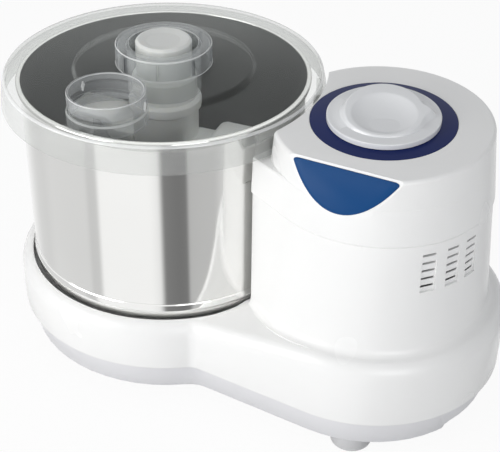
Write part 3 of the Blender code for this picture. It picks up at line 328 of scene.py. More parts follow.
def darker(colour, share):
    """The same colour with a share of its light taken away."""
    return tuple(c * (1 - share) for c in colour[:3]) + (1,)


# %% [markdown]
# ## Moulded plastics
# The housing is glossy white ABS. Such a surface isn't optically flat: it has a faint orange peel and its colour
# drifts by a percent or so. The same recipe with other numbers gives the grey tray, the knob and the inner plastics.


# %% Moulded plastic
gloss_drift = 0.08


def moulded(name, colour, roughness, peel=0.00002, peel_scale=260, drift=0.03, extra=None):
    """Plastic from a mould: colour drift, uneven gloss and a fine orange peel."""
    finish = Finish(name)
    broad = finish.noise(14, 2)
    fine = finish.noise(peel_scale, 2)
    values = {
        "Base_Color": finish.blend(broad, darker(colour, drift), colour),
        "Roughness": roughness - gloss_drift / 2 + broad * gloss_drift,
        "Normal": finish.bump(fine, 0.35, peel),
    }
    values.update(extra or {})
    return finish.done(finish.principled(**values))


white_plastic = moulded("white_plastic", (0.87, 0.87, 0.865, 1), 0.26, extra={"Specular_IOR_Level": 0.4})
tray_plastic = moulded("tray_plastic", (0.74, 0.74, 0.76, 1), 0.42, peel=0.00005, peel_scale=900)
knob_plastic = moulded("knob_plastic", (0.76, 0.77, 0.785, 1), 0.2, extra={"Specular_IOR_Level": 0.6})
black_plastic = moulded("black_plastic", (0.035, 0.035, 0.04, 1), 0.45, peel=0.00005, peel_scale=900, drift=0.3)
print_extra = {"Specular_IOR_Level": 0.12}
navy_print = moulded("navy_print", (0.003, 0.013, 0.098, 1), 0.32, 0.00003, 1400, 0.12, print_extra)
badge_film = moulded("badge_film", (0.008, 0.062, 0.2, 1), 0.34, 0.00003, 1800, 0.1, print_extra)
milky_extra = {"Subsurface_Weight": 0.35, "Subsurface_Scale": 0.004, "Subsurface_Radius": (1.0, 0.95, 0.8)}
milky_plastic = moulded("milky_plastic", (0.94, 0.95, 0.92, 1), 0.36, extra=milky_extra)
lock_plastic = moulded("lock_plastic", (0.74, 0.75, 0.73, 1), 0.36, extra=milky_extra)
grey_rubber = moulded("grey_rubber", (0.55, 0.55, 0.56, 1), 0.62, peel=0.00012, peel_scale=1500, drift=0.15)
black_rubber = moulded("black_rubber", (0.03, 0.03, 0.032, 1), 0.7, peel=0.00012, peel_scale=1500, drift=0.3)
print("plastics", len(bpy.data.materials))

# %% [markdown]
# ## Metals
# The drum is polished stainless steel: nearly a mirror, with fine lines that run round it from the polishing wheel.
# Lines that run round an axis are noise that is squeezed along the height. Cast and drawn metal inside the motor is
# rougher, with a grain of its own.


# %% Polished and cast metal
cloud_drift = 0.07


def metal(name, colour, roughness, grain, depth=0.00001, spread=0.05):
    """Bare metal with a grain that is stretched as its maker drew, turned or cast it."""
    finish = Finish(name)
    lines = finish.noise(60, 4, stretch=grain)
    cloud = finish.noise(9, 2)
    shader = finish.principled(
        Base_Color=finish.blend(cloud, darker(colour, cloud_drift), colour),
        Metallic=1.0,
        Roughness=roughness - spread / 2 + lines * spread,
        Normal=finish.bump(lines, 0.25, depth),
    )
    return finish.done(shader)


wheel_lines = (0.6, 0.6, 60)
drum_steel = metal("drum_steel", (0.92, 0.92, 0.905, 1), 0.085, wheel_lines, depth=0.000004, spread=0.03)
# Painted shade: the inside of the drum gets a very dark steel colour for the shade that falls in it.
shaded_inner_steel = metal("shaded_inner_steel", (0.15, 0.155, 0.148, 1), 0.5, wheel_lines, depth=0.000001)
bright_steel = metal("bright_steel", (0.62, 0.62, 0.63, 1), 0.28, (1, 1, 30))
screw_steel = metal("screw_steel", (0.50, 0.50, 0.52, 1), 0.34, (8, 8, 8))
cast_aluminium = metal("cast_aluminium", (0.55, 0.56, 0.57, 1), 0.46, (12, 12, 12), depth=0.00008, spread=0.15)
copper_wire = metal("copper_wire", (0.72, 0.33, 0.14, 1), 0.32, (2, 2, 60), depth=0.0002)
print("metals done, finishes so far", len(bpy.data.materials))


# %% [markdown]
# ## Granite
# The rollers and the floor they roll on are cut stone: dark, matt when dry, and speckled with paler and blacker
# crystals. Cells from a Voronoi texture make good crystals, and a ramp decides how many of them stand out.


# %% Speckled stone
def speckled_stone():
    """Dark granite with a few paler crystals and fine pits."""
    finish = Finish("grey_stone")
    cells = finish.node("ShaderNodeTexVoronoi", values={"Vector": finish.here(), "Scale": 620}, output=1)
    stops = [(0.0, grey(0.03)), (0.35, grey(0.055)), (0.75, grey(0.085)), (1.0, grey(0.26, (1, 1, 0.96)))]
    crystals = finish.node("ShaderNodeValToRGB", {"stops": stops}, {"Fac": cells})
    pits = finish.noise(420, 4)
    shader = finish.principled(
        Base_Color=crystals, Roughness=0.62 + pits * 0.2, Normal=finish.bump(pits, 0.5, 0.0002)
    )
    return finish.done(shader)


grey_stone = speckled_stone()
print("stone done")

# %% [markdown]
# ## Clear plastic
# The lid is thin clear plastic. Through a wall that thin nothing looks bent, so real refraction would only cost time:
# a mix of see-through and gloss does it, in which the gloss grows where the wall is seen edge on. That is what draws
# the bright lines round a clear lid. The flat plate is the clearest, the skirt is a little hazy, and the collar and
# the chute are the thickest, so one recipe is used with other shares. Rounded edges get a brighter, nearly opaque
# copy that paints highlight lines on them, and the sides of the collar's slots get a dark copy that paints their
# shade.


# %% Clear lid plastic
def clear_plastic(name, colour, face_share, edge_share, roughness=0.06, passes=0.985):
    """See-through plastic with the given share of gloss where it is seen face on, and another edge on."""
    finish = Finish(name)
    facing = finish.node("ShaderNodeLayerWeight", values={"Blend": 0.5}, output=1)
    haze = finish.noise(40, 3)
    clear = finish.node("ShaderNodeBsdfTransparent", values={"Color": grey(passes, (1, 1.004, 1))})
    gloss = finish.principled(
        Base_Color=finish.blend(haze, darker(colour, cloud_drift), colour),
        Roughness=roughness + haze * 0.05,
        Specular_IOR_Level=0.6,
    )
    share = face_share + facing.power(4) * (edge_share - face_share) + haze * 0.01
    mixed = finish.node("ShaderNodeMixShader", values={0: share, 1: clear, 2: gloss})
    return finish.done(mixed)


lid_plastic = clear_plastic("lid_plastic", (0.62, 0.64, 0.63, 1), 0.036, 0.7)
collar_plastic = clear_plastic("collar_plastic", (0.80, 0.83, 0.84, 1), 0.13, 0.8)
chute_plastic = clear_plastic("chute_plastic", (0.74, 0.76, 0.77, 1), 0.26, 0.85)
skirt_plastic = clear_plastic("skirt_plastic", (0.84, 0.85, 0.84, 1), 0.12, 0.75, roughness=0.12, passes=0.93)
# Painted highlight: a brighter, nearly opaque copy of the lid's plastic for its rounded edges.
painted_highlight_plastic = clear_plastic("painted_highlight_plastic", (0.93, 0.94, 0.94, 1), 0.6, 0.95)
# Painted shade: a dark, nearly opaque copy of the lid's plastic for the sides of the collar's slots.
painted_slot_shade_plastic = clear_plastic("painted_slot_shade_plastic", (0.16, 0.17, 0.18, 1), 0.75, 0.95)
print("finishes", len(bpy.data.materials))

# %% [markdown]
# ## Carried-over solids
# Motor, belt, bearings, screws and rollers are already the right shape. They keep their solids and only get a finish,
# by the material slot that the record names for each of them.

# %% Dress the solids by their slots
slot_finishes = {
    "white_body": white_plastic,
    "grey_tray": tray_plastic,
    "rubber": black_rubber,
    "blue_badge": badge_film,
    "navy_ring": navy_print,
    "white_knob": knob_plastic,
    "steel": drum_steel,
    "bright_steel": bright_steel,
    "stone": grey_stone,
    "clear_plastic": lid_plastic,
    "milky_plastic": milky_plastic,
    "black_plastic": black_plastic,
    "cast_aluminium": cast_aluminium,
    "copper": copper_wire,
    "screw_steel": screw_steel,
}
node_slots = {part["node"]: part["material_slot"] for part in frame["record"]["subparts"]}
for node_name, node in frame["nodes"].items():
    node.data.materials.clear()
    node.data.materials.append(slot_finishes[node_slots[node_name]])
print("dressed", len(node_slots), "solids")

# %% [markdown]
# ## The base's outline
# Seen from above the base is two rounds, a larger one under the drum and a smaller one under the tower, joined by
# straight sides that taper, with a soft waist where they meet the drum's round. Arcs make that line exactly, at
# any inset, which is what a wall of even thickness needs.

# %% Outline of the base
drum_end = 133
tower_end = 113.5
side_taper = math.radians(4.1)
waist_round = 16


def waist_centre():
    """Centre of the arc that touches both the straight side and the drum's round."""
    outward = Vector((math.cos(-quarter_turn - side_taper), math.sin(-quarter_turn - side_taper)))
    along = Vector((outward.y, -outward.x))
    start = Vector((tower_x - drum_x, 0)) + outward * (tower_end + waist_round)
    reach = drum_end + waist_round
    middle = start.dot(along)
    travel = -middle - math.sqrt(middle**2 - start.length_squared + reach**2)
    return Vector((drum_x, 0)) + start + along * travel


waist = waist_centre()


def both_halves(front):
    """A closed line from its front half, mirrored to the back."""
    return [tuple(p) for p in front] + [(x, -y) for x, y in reversed(front[1:-1])]


def base_line(inset):
    """Closed outline of the base, drawn in from its widest by the inset."""
    side = -quarter_turn - side_taper
    to_drum = math.atan2(-waist.y, drum_x - waist.x)
    front = arc((tower_x, 0), tower_end - inset, 0, side, 48)
    front += arc(waist, waist_round + inset, side + math.pi, to_drum, 10)
    front += arc((drum_x, 0), drum_end - inset, to_drum - math.pi, -math.pi, 64)[1:]
    return both_halves(front)


print("outline points", len(base_line(0)))

# %% [markdown]
# ## The tower's outline
# The tower is round, with two wings that reach forward and back to the drum's side and a hollow face between them
# that the drum stands in. Its foot swells into the deck with a soft fillet. Here the fillet is part of the stack of
# outlines: each ring lies a little further out and a little lower, until it is flat on the deck.

# %% Outline of the tower
face_radius = 125.3
wing_half = 58.5
tower_foot = 98
tower_lean = 7
seam = 197.2


def tower_line(radius, half_width, grow=0.0, corner=2.4):
    """Closed outline of the tower. The hollow face towards the drum has rounded corners."""
    wing = Vector((drum_x + math.sqrt(face_radius**2 - half_width**2), -half_width - grow))
    to_wing = wing - Vector((tower_x, 0))
    tangent = math.atan2(to_wing.y, to_wing.x) + math.acos((radius + grow) / to_wing.length)
    front = arc((tower_x, 0), radius + grow, 0, tangent, 56)
    last = Vector(front[-1])
    front += [tuple(last.lerp(wing, share)) for share in (0.25, 0.5, 0.75)]
    along = (last - wing).normalized()
    start = math.atan2(wing.y, wing.x - drum_x)
    sweep = corner / face_radius
    into = Vector((drum_x + face_radius * math.cos(start + sweep), face_radius * math.sin(start + sweep)))
    out = wing + along * corner
    for share in (0, 0.2, 0.4, 0.6, 0.8, 1):
        front.append(tuple(out.lerp(wing, share).lerp(wing.lerp(into, share), share)))
    front += arc((drum_x, 0), face_radius, start + sweep, 0, 20)[1:]
    return both_halves(front)


def lifted(line, height):
    """A ring in space: an outline with one height, or with a rule that gives it."""
    rule = height if callable(height) else (lambda x, y: height)
    return [(x, y, rule(x, y)) for x, y in line]


drum_deck = 84
tower_deck = 98.5
deck_start = drum_x + 70


def deck_height(x):
    """Height of the deck, which rises softly from the drum to the tower."""
    share = min(max((x - deck_start) / (tower_x - deck_start), 0), 1)
    return drum_deck + (tower_deck - drum_deck) * share * share * (3 - 2 * share)


def tower_radius_at(z):
    return tower_foot - tower_lean * (z - tower_deck) / (seam - tower_deck)


print("tower radius at the seam", tower_radius_at(seam))


# %% [markdown]
# ## The white housing
# One moulding carries the grinder: the base under drum and tower, the deck that rises from one to the other, the
# tower's lower half and the pit that the drum turns in. Stacked outlines give the base and the tower, a Boolean
# joins them, and turned cutters take out the pit and the hollow inside, as a mould's core would.

# %% Base
body_edge = 39.4
shoulder_width = 9.6
shoulder_drop = 13
shoulder = []
shoulder_steps = 9
for step in range(shoulder_steps + 1):
    turn = quarter_turn * step / shoulder_steps
    inset = shoulder_width * (1 - math.cos(turn))
    drop = shoulder_drop * (1 - math.sin(turn))
    shoulder.append(lifted(base_line(inset), lambda x, y, drop=drop: deck_height(x) - drop))
lower_round = ((0.9, 0), (0.25, 0.25), (0, 0.9))
edge = [lifted(base_line(inset), body_edge + rise) for inset, rise in lower_round]
housing = solid("housing", skin(edge + shoulder, strips=True))

# %% Tower
fillet = 6
fillet_steps = 7
sunk = 8
proud = 0.08
flare = [lifted(tower_line(tower_foot, wing_half, fillet), lambda x, y: deck_height(x) - sunk)]
for step in range(fillet_steps + 1):
    turn = quarter_turn * step / fillet_steps
    grow = fillet * (1 - math.sin(turn))
    rise = fillet * (1 - math.cos(turn)) + proud
    line = tower_line(tower_foot - 0.07 * rise, wing_half, grow)
    flare.append(lifted(line, lambda x, y, rise=rise: deck_height(x) + rise))
flare.append(lifted(tower_line(91.1, wing_half), seam - 1.5))
flare.append(lifted(tower_line(90.3, wing_half - 0.8), seam - 0.7))
tower = solid("tower", skin(flare))
carve(housing, "UNION", tower)
print("housing", len(housing.data.polygons))

# %% Drum pit and the hollow inside
wall = 2.6
pit_radius = 122.6
pit_floor = 66
pit_lip = pit_radius + 2.2
clear_above = 262


def round_cutter(name, radius, low, high, steps=96, place=drum_place):
    """A plain round bar that takes a bore or a pit out of a moulding."""
    return solid(name, turned([(0, low), (radius, low), (radius, high), (0, high)], steps, place, closed=False))


pit_line = rounded(
    [(0, pit_floor), (pit_radius, pit_floor, 3), (pit_radius, drum_deck, 1.6), (pit_lip, drum_deck),
     (pit_lip, drum_deck + 3), (pit_radius, drum_deck + 3.4), (pit_radius, clear_above), (0, clear_above)]
)
carve(housing, "DIFFERENCE", solid("pit", turned(pit_line, 192, drum_place, closed=False)))
inside = [lifted(base_line(wall), 33), lifted(base_line(wall), drum_deck - shoulder_drop)]
inside += [lifted(base_line(shoulder_width), lambda x, y: deck_height(x) - 3.5)]
core = solid("core", skin(inside, strips=True))
carve(core, "DIFFERENCE", round_cutter("cup", pit_radius + wall, 63, clear_above))
wall_line = [lifted(tower_line(tower_radius_at(z) - wall, wing_half - wall), z) for z in (71, 203)]
shaft = solid("shaft", skin(wall_line))
carve(shaft, "DIFFERENCE", round_cutter("face_wall", face_radius + wall, 0, clear_above))
carve(housing, "DIFFERENCE", core, shaft)
carve(housing, "DIFFERENCE", round_cutter("spindle_way", 17, 50, 80, steps=48))
print("housing", len(housing.data.polygons))

# %% [markdown]
# ## Louvres
# Three columns of slots on each side let the motor breathe. Each column is a shallow recess with five thin slots.
# The recess and its slots are boxes on the tower's wall, and exact Booleans keep their edges crisp.

# %% Louvres and the cord's hole
louvre_columns = [math.radians(a) for a in (-43.5, -30, -17.5, 17.5, 30, 43.5)]
louvre_middle = 173
slot_pitch = 7


def wall_place(angle, z):
    """A place on the tower's wall: x runs round the wall and y points out of it."""
    turn = Matrix.Rotation(angle - quarter_turn, 4, "Z")
    return Matrix.Translation((tower_x, 0, z)) @ turn @ Matrix.Translation((0, tower_radius_at(z), 0))


for column, angle in enumerate(louvre_columns):
    recess = wall_place(angle, louvre_middle)
    carve(housing, "DIFFERENCE", block(f"recess_{column}", (-6.5, -1, -18.5), (6.5, 11, 18.5), recess))
    for row in range(5):
        slot = wall_place(angle, louvre_middle + (2 - row) * slot_pitch)
        carve(housing, "DIFFERENCE", block(f"slot_{row}", (-5.5, -6, -1), (5.5, 6, 1), slot))
gland_place = Matrix.Translation((tower_x, tower_end, 58)) @ Matrix.Rotation(-quarter_turn, 4, "X")
carve(housing, "DIFFERENCE", round_cutter("gland_cut", 6.9, -12, 6, 48, gland_place))
piece(housing, white_plastic, "base", ["body_housing"], sharp=28)

# %% [markdown]
# ## The tower's top cover
# A separate moulding closes the tower. Its top tilts a few degrees towards the user, its edge is rounded, a crescent
# is cut away for the lid, and a flat facet at the front carries the badge. The same stack of outlines makes it, with
# heights that follow the slope.

# %% Top cover
top_z = 254
top_slope = math.radians(2.9)
edge_round = 3
cover_foot = 92.2
cover_chamfer = 0.5
cover_top = 86.5


def tower_round(radius):
    return both_halves(arc((tower_x, 0), radius, 0, -math.pi, 96))


def cover_rings(inset, bottom, drop_all, steps=10):
    """The cover's outlines from its foot to its rounded, sloping top."""
    rings = [lifted(tower_round(cover_foot - cover_chamfer - inset), bottom)]
    rings += [lifted(tower_round(cover_foot - inset), bottom + cover_chamfer)]
    for step in range(steps):
        turn = quarter_turn * step / (steps - 1)
        radius = cover_top - inset - edge_round * (1 - math.cos(turn))
        drop = drop_all + edge_round * (1 - math.sin(turn))
        rings.append(lifted(tower_round(radius), lambda x, y, drop=drop: top_z + y * math.tan(top_slope) - drop))
    return rings


cover = solid("cover", skin(cover_rings(0, seam, 0)))
lid_ledge = 228
wing_rings = [lifted(tower_line(91.9, wing_half + 1.3), seam + 0.1)]
wing_rings += [lifted(tower_line(89, wing_half + 0.2), lid_ledge - 1)]
wing_rings += [lifted(tower_line(88.2, wing_half - 0.5, corner=3), lid_ledge)]
carve(cover, "UNION", solid("wings", skin(wing_rings)))
dial_place = Matrix.Translation((tower_x, 0, top_z)) @ Matrix.Rotation(top_slope, 4, "X")
dial_cut = [(0, 6), (57.6, 6), (57.6, -1.1), (4.9, -1.1), (4.9, -12), (0, -12)]
carve(cover, "DIFFERENCE", solid("dial_cut", turned(dial_cut, 160, dial_place, closed=False)))
carve(cover, "DIFFERENCE", round_cutter("face_cut", face_radius, 100, clear_above, steps=192))
recess_radius = 136.8
ledge_line = rounded(
    [(0, lid_ledge), (recess_radius, lid_ledge, 2), (recess_radius, clear_above), (0, clear_above)]
)
carve(cover, "DIFFERENCE", solid("lid_cut", turned(ledge_line, 192, drum_place, closed=False)))
print("cover", len(cover.data.polygons))

# %% Badge facet, and the hollow under the cover
facet_y = -73
facet_tilt = math.radians(27)
facet_top = top_z + facet_y * math.tan(top_slope)
facet_place = Matrix.Translation((tower_x, facet_y, facet_top)) @ Matrix.Rotation(math.pi, 4, "Z")
facet_place = facet_place @ Matrix.Rotation(facet_tilt, 4, "X")
carve(cover, "DIFFERENCE", block("facet_cut", (-95, 0, -95), (95, 50, 50), facet_place))
cavity = solid("cavity", skin(cover_rings(wall, seam - 6, wall, steps=4)))
carve(cavity, "DIFFERENCE", round_cutter("recess_round", recess_radius + wall, 100, clear_above))
carve(cavity, "DIFFERENCE", block("facet_wall", (-95, -wall, -95), (95, 50, 50), facet_place))
carve(cover, "DIFFERENCE", cavity)
piece(cover, white_plastic, "base", ["top_cover"], sharp=28)

# %% [markdown]
# ## Badge plate
# The blue plate fills the facet nearly to its edge. It is cut from a thin slab by the cover's own shape, so its lower
# edge follows the cover exactly. It stays bare.

# %% Badge plate
badge = block("badge", (-95, 0.3, -95), (95, 1.3, 50), facet_place)
carve(badge, "INTERSECT", solid("badge_limit", skin(cover_rings(0.3, seam, 1.5))))
bevel = badge.modifiers.new("edge", "BEVEL")
bevel.width = 0.25 * mm
bevel.segments = 2
bevel.angle_limit = math.radians(40)
apply_modifiers(badge)
piece(badge, badge_film, "base", ["badge_plate"])

# %% [markdown]
# ## Dial ring and timer knob
# The ring round the timer is a flat printed disc let into the cover. The knob on it has a flange with a thick bright
# edge and a raised grip: high at the back, low at the front, dished on top, with a small nose that points at the
# time. The photographed knob is turned a little, nose to the back. The grip is a height over a polar grid, which
# keeps its flanks smooth wherever they fade away.

# %% Dial ring
ring_line = rounded([(24, 0.2), (57.3, 0.2, 0.3), (57.3, -0.8), (24, -0.8)], closed=True, steps=3)
piece(solid("dial", turned(ring_line, 160, dial_place)), navy_print, "base", ["dial_ring"])


# %% The grip as a height
knob_turn = math.radians(22)
knob_place = dial_place @ Matrix.Rotation(knob_turn, 4, "Z")


def soft_least(first, second, reach):
    """The smaller of two heights, with a round of the given reach where they cross."""
    share = max(reach - abs(first - second), 0) / reach
    return min(first, second) - share * share * reach / 4


def grip_reach(angle):
    """Radius of the grip at an angle: a round, with a nose to the right."""
    nose = math.exp(-((math.degrees(angle) / 11) ** 2))
    return 34.5 + 6 * nose


print("grip from", round(grip_reach(math.pi), 1), "to", grip_reach(0), "mm")


def grip_height(angle, share):
    """Height over the flange: flanks, a top that slopes down to the front, and a round dish in the top."""
    radius = grip_reach(angle) * share
    x, y = radius * math.cos(angle), radius * math.sin(angle)
    steep = 1.15 + 1.9 * math.sin(angle) ** 2
    flank = (grip_reach(angle) - radius) * steep
    slant = 1.4 + 7.6 * (y + 34) / 68
    dish = slant - 4.4 + 4.4 * (math.hypot(x, y + 6) / 25.5) ** 3
    return max(soft_least(soft_least(flank, slant, 1.0), dish, 0.5), 0)


# %% Timer knob
around, across = 180, 60
flange_top = 5.2
knob_points, knob_faces = [], []


def knob_ring(reach_at, height_at):
    """One ring of points round the knob, with the faces that join it to the ring before."""
    first = len(knob_points)
    for j in range(around):
        angle = full_turn * j / around
        radius = reach_at(angle)
        knob_points.append(
            knob_place @ Vector((radius * math.cos(angle), radius * math.sin(angle), height_at(angle)))
        )
    if first:
        for j in range(around):
            after = (j + 1) % around
            knob_faces.append((first - around + j, first - around + after, first + after, first + j))


def signed(angle):
    return (angle + math.pi) % full_turn - math.pi


for i in range(across + 1):
    share = i / across
    knob_ring(
        lambda angle: grip_reach(signed(angle)) * share,
        lambda angle: flange_top + grip_height(signed(angle), share),
    )
rim_line = rounded([(42.6, flange_top), (44.5, flange_top, 1.5), (44.5, 0.5, 0.6), (20, 0.5)], steps=6)
for radius, height in rim_line:
    knob_ring(lambda angle: radius, lambda angle: height)
knob_faces.append([len(knob_points) - around + j for j in range(around)])
knob = solid("knob", (knob_points, knob_faces))
weld = bmesh.new()
weld.from_mesh(knob.data)
bmesh.ops.remove_doubles(weld, verts=weld.verts, dist=0.01 * mm)
weld.to_mesh(knob.data)
weld.free()
piece(knob, knob_plastic, "timer", ["timer_knob"], sharp=60)

# %% [markdown]
# ## The steel drum
# The drum is spun from thin sheet: a straight wall, a rolled bead at the rim, a crease above a rounded band at its
# foot. One closed profile is turned with enough steps that its mirror finish shows no flats. The inside is left
# unpolished, so its faces get a rougher steel, with a very dark colour that paints the shade inside the drum.

# %% Drum
outer_line = rounded(
    [(118.6, 249), (118.9, 250.8, 1.2), (123, 250.8, 1.8), (123, 246.6, 1.8), (119.6, 245.8, 0.8), (119.6, 97.2, 0.5),
     (119.1, 96.2, 0.4), (119.9, 95.4, 0.5), (120.5, 91, 6), (119.7, 83.4, 4), (115.5, 80, 3), (0, 80)]
)
inner_line = rounded([(0, 81), (115.5, 81, 4), (118.6, 84.5, 4), (118.6, 249)])
drum = solid("drum", turned(outer_line + inner_line[:-1], 256, drum_place))
piece(drum, [drum_steel, shaded_inner_steel], "drum", ["drum_shell"], sharp=50)
inner_wall = 118.75
inner_floor = 80.5
# Faces inside the drum get the dark steel, whose colour paints the shade inside the drum.
for face in drum.data.polygons:
    middle = face.center / mm
    reach = math.hypot(middle.x - drum_x, middle.y)
    face.material_index = int(reach < inner_wall and middle.z > inner_floor)
print("inner faces", sum(face.material_index for face in drum.data.polygons))

# %% [markdown]
# ## The clear lid
# The lid is one clear moulding: a skirt that hangs over the drum's rim, a flat ring, a raised middle with a collar
# for the lock knob, and a feed chute with a small ledge in it. Its lugs stand in the tower's recess and keep it
# from turning. All of it is turned or drawn, then joined.

# %% Lid shell
lid_line = rounded(
    [(28.7, 277, 0.8), (40, 277, 1.2), (40, 260, 0.5), (74.5, 260, 1.2), (76.5, 254.4, 1.2), (132.8, 254.4, 2.4),
     (134.2, 245.6), (134.7, 245.0), (135.2, 238.4), (135.7, 237.8), (136, 231, 0.4), (134, 231, 0.4),
     (131, 250.6, 2), (130, 252.4, 0.8), (75.4, 252.4, 0.8), (73.4, 258, 0.8), (38, 258, 0.4), (38, 275, 0.6),
     (30.7, 275, 0.6), (30.7, 235, 0.3), (28.7, 235, 0.3)],
    closed=True, steps=4,
)
lid = solid("lid", turned(lid_line, 192, drum_place))
chute_place = Matrix.Translation((drum_x - 8, -77, 0)) @ Matrix.Rotation(math.radians(14), 4, "Z")
carve(lid, "DIFFERENCE", round_cutter("chute_way", 30.5, 235, 272, place=chute_place))
tube_line = rounded(
    [(29.5, 266, 0.7), (31.5, 266, 0.7), (31.5, 250.6, 0.4), (32.7, 249.4, 0.4), (32.7, 240, 0.4), (30.7, 240, 0.4),
     (30.7, 248, 0.4), (29.5, 249.4, 0.4)],
    closed=True, steps=3,
)
tube = solid("tube", turned(tube_line, 96, chute_place))
ledge_radius = 30.6
ledge_start = math.asin(21 / ledge_radius)
ledge = arc((0, 0), ledge_radius, ledge_start, math.pi - ledge_start, 40)
ledge_rings = [[chute_place @ Vector((x, y, z)) for x, y in ledge] for z in (248.5, 250.5)]
carve(tube, "UNION", solid("chute_ledge", skin(ledge_rings)))
carve(lid, "UNION", tube)
lug_angle = math.radians(23.5)
for side in (-1, 1):
    turn = drum_place @ Matrix.Rotation(side * lug_angle, 4, "Z")
    carve(lid, "UNION", block(f"lug_{side + 1}", (127, -8, 228.4), (131.8, 8, 253.4), turn))
print("lid", len(lid.data.polygons))

# %% Slots of the collar
collar_slots = 8
for number in range(collar_slots):
    turn = drum_place @ Matrix.Rotation(full_turn * (number + 0.5) / collar_slots, 4, "Z")
    carve(lid, "DIFFERENCE", block("slot", (36, -0.8, 260.8), (42, 0.8, 274.4), turn))
lid_finishes = [lid_plastic, collar_plastic, chute_plastic, skirt_plastic, painted_highlight_plastic, painted_slot_shade_plastic]
piece(lid, lid_finishes, "lid", ["drum_lid"], sharp=35)


# %% Finishes by place
collar_reach = 41
chute_reach = 33.2
skirt_start = 121.5


def lid_finish(face):
    """Which of the lid's finishes a face gets, by its place and by the way it looks."""
    middle = face.center / mm
    outward = Vector((middle.x - drum_x, middle.y, 0))
    reach = outward.length
    in_collar = reach < collar_reach
    in_chute = (chute_place.inverted() @ middle).xy.length < chute_reach
    rounded_edge = 0.25 < abs(face.normal.z) < 0.96
    # Rounded edges of the collar, the chute and the rim get the painted highlight.
    if rounded_edge and (in_collar or in_chute or 131.5 < reach < 133.4):
        return painted_highlight_plastic
    # The sides of the collar's slots get the painted shade.
    beside_slot = abs(face.normal.dot(outward)) < 0.3 * reach and abs(face.normal.z) < 0.3
    if beside_slot and 37.9 < reach < 40.1:
        return painted_slot_shade_plastic
    if reach > skirt_start:
        return skirt_plastic
    if in_collar:
        return collar_plastic
    return chute_plastic if in_chute else lid_plastic


for face in lid.data.polygons:
    face.material_index = lid_finishes.index(lid_finish(face))
lit = lid_finishes.index(painted_highlight_plastic)
print("lid faces with lit edges", sum(face.material_index == lit for face in lid.data.polygons))

# %% [markdown]
# ## Lock knob
# A milky knob in the collar screws down on the post. Its side has twelve soft flats for the fingers, its edge is
# chamfered and its top is dished. The flats are a ripple on the radius of a turned shape.

# %% Lock knob
lock_flats = 12
flat_depth = 0.014
lock_line = rounded(
    [(0, 277.9), (14, 278.4, 6), (21.4, 279.9, 0.8), (23.4, 277.9, 0.8), (23.2, 250.3, 0.6), (6.4, 250.3),
     (6.4, 256.3), (0, 256.3)]
)
lock_points, lock_faces = turned(lock_line, 12 * lock_flats, closed=False)
for point in lock_points:
    flat = 0.5 - 0.5 * math.cos(lock_flats * math.atan2(point.y, point.x))
    outer_share = min(1, max(0, (math.hypot(point.x, point.y) - 12) / 8))
    point.xy = point.xy * (1 - flat_depth * flat * outer_share)
lock_points = [drum_place @ p for p in lock_points]
piece(solid("lock", (lock_points, lock_faces)), lock_plastic, "lock", ["lock_knob"])

# %% [markdown]
# ## Rubber feet
# Four grey feet, a truncated cone each with a recess for its screw.

# %% Feet
foot_line = rounded(
    [(2.25, 11), (14.5, 11, 0.6), (17, 1.2, 0.8), (15.8, 0, 0.8), (6.5, 0, 0.4), (6.5, 5, 0.4), (2.25, 5)],
    closed=True, steps=3,
)
for number in range(1, 5):
    name = f"rubber_foot_{number}"
    spot = middle_of(name)
    foot = solid(f"foot_{number}", turned(foot_line, 64, Matrix.Translation((spot.x, spot.y, 0))))
    piece(foot, grey_rubber, "base", [name])

# %% [markdown]
# ## Tray, roller holder and grommet
# These three already have the right shape, but a moulded edge is never razor sharp. A copy of each solid gets a small
# round on its edges, which is all that the eye misses.


# %% Softened copies
def softened(name, node, round_width, finish):
    """A copy of a solid's mesh with a small round on its edges."""
    thing = solid(name, ([], []))
    thing.data = frame["nodes"][node].data.copy()
    thing.matrix_world = frame["nodes"][node].matrix_world
    merge = thing.modifiers.new("merge", "WELD")
    merge.merge_threshold = 0.001 * mm
    bevel = thing.modifiers.new("edge", "BEVEL")
    bevel.width = round_width * mm
    bevel.segments = 2
    bevel.angle_limit = math.radians(42)
    apply_modifiers(thing)
    return piece(thing, finish, "base", [node], sharp=40)


softened("tray", "base_tray", 0.5, tray_plastic)
softened("holder", "roller_holder", 0.6, milky_plastic)
softened("gland", "cord_gland", 0.3, black_plastic)

# %% [markdown]
# ## Studio
# A white table in a white room, and a large soft lamp at the front left. The camera, and whatever mirrors the room,
# sees plain white, while the light that the room really gives is dimmer, so that the lamp shapes the walls.


# %% Finish of the table
def seen_directly(finish, share):
    """The given share for a ray from the camera, off a gloss or through a clear wall, and none for other light."""
    camera_ray = finish.node("ShaderNodeLightPath", output="Is Camera Ray")
    glossy_ray = finish.node("ShaderNodeLightPath", output="Is Glossy Ray")
    clear_ray = finish.node("ShaderNodeLightPath", output="Is Transmission Ray")
    return camera_ray.most(glossy_ray).most(clear_ray) * share


def table_white(shown, tone):
    """White where it is looked at, and a plain matt surface that still takes shadows."""
    finish = Finish("table_white")
    matt = finish.node("ShaderNodeBsdfDiffuse", values={"Color": grey(tone)})
    glow = finish.node("ShaderNodeEmission", values={"Color": grey(1)})
    mixed = finish.node("ShaderNodeMixShader", values={0: seen_directly(finish, shown), 1: matt, 2: glow})
    return finish.done(mixed)


# %% [markdown]
# ## What the drum mirrors
# Polished steel has no look of its own: its upright bands are what stands round it. A photographer sets pale and dark
# cards round a steel pot for that. Here the room itself carries them: a reflection that leaves the steel downwards
# meets a tone that depends only on its compass direction, so each band stands upright on the drum, however it turns.
# Each pair is a direction in degrees, counted from the tower's end over the back, and a tone.

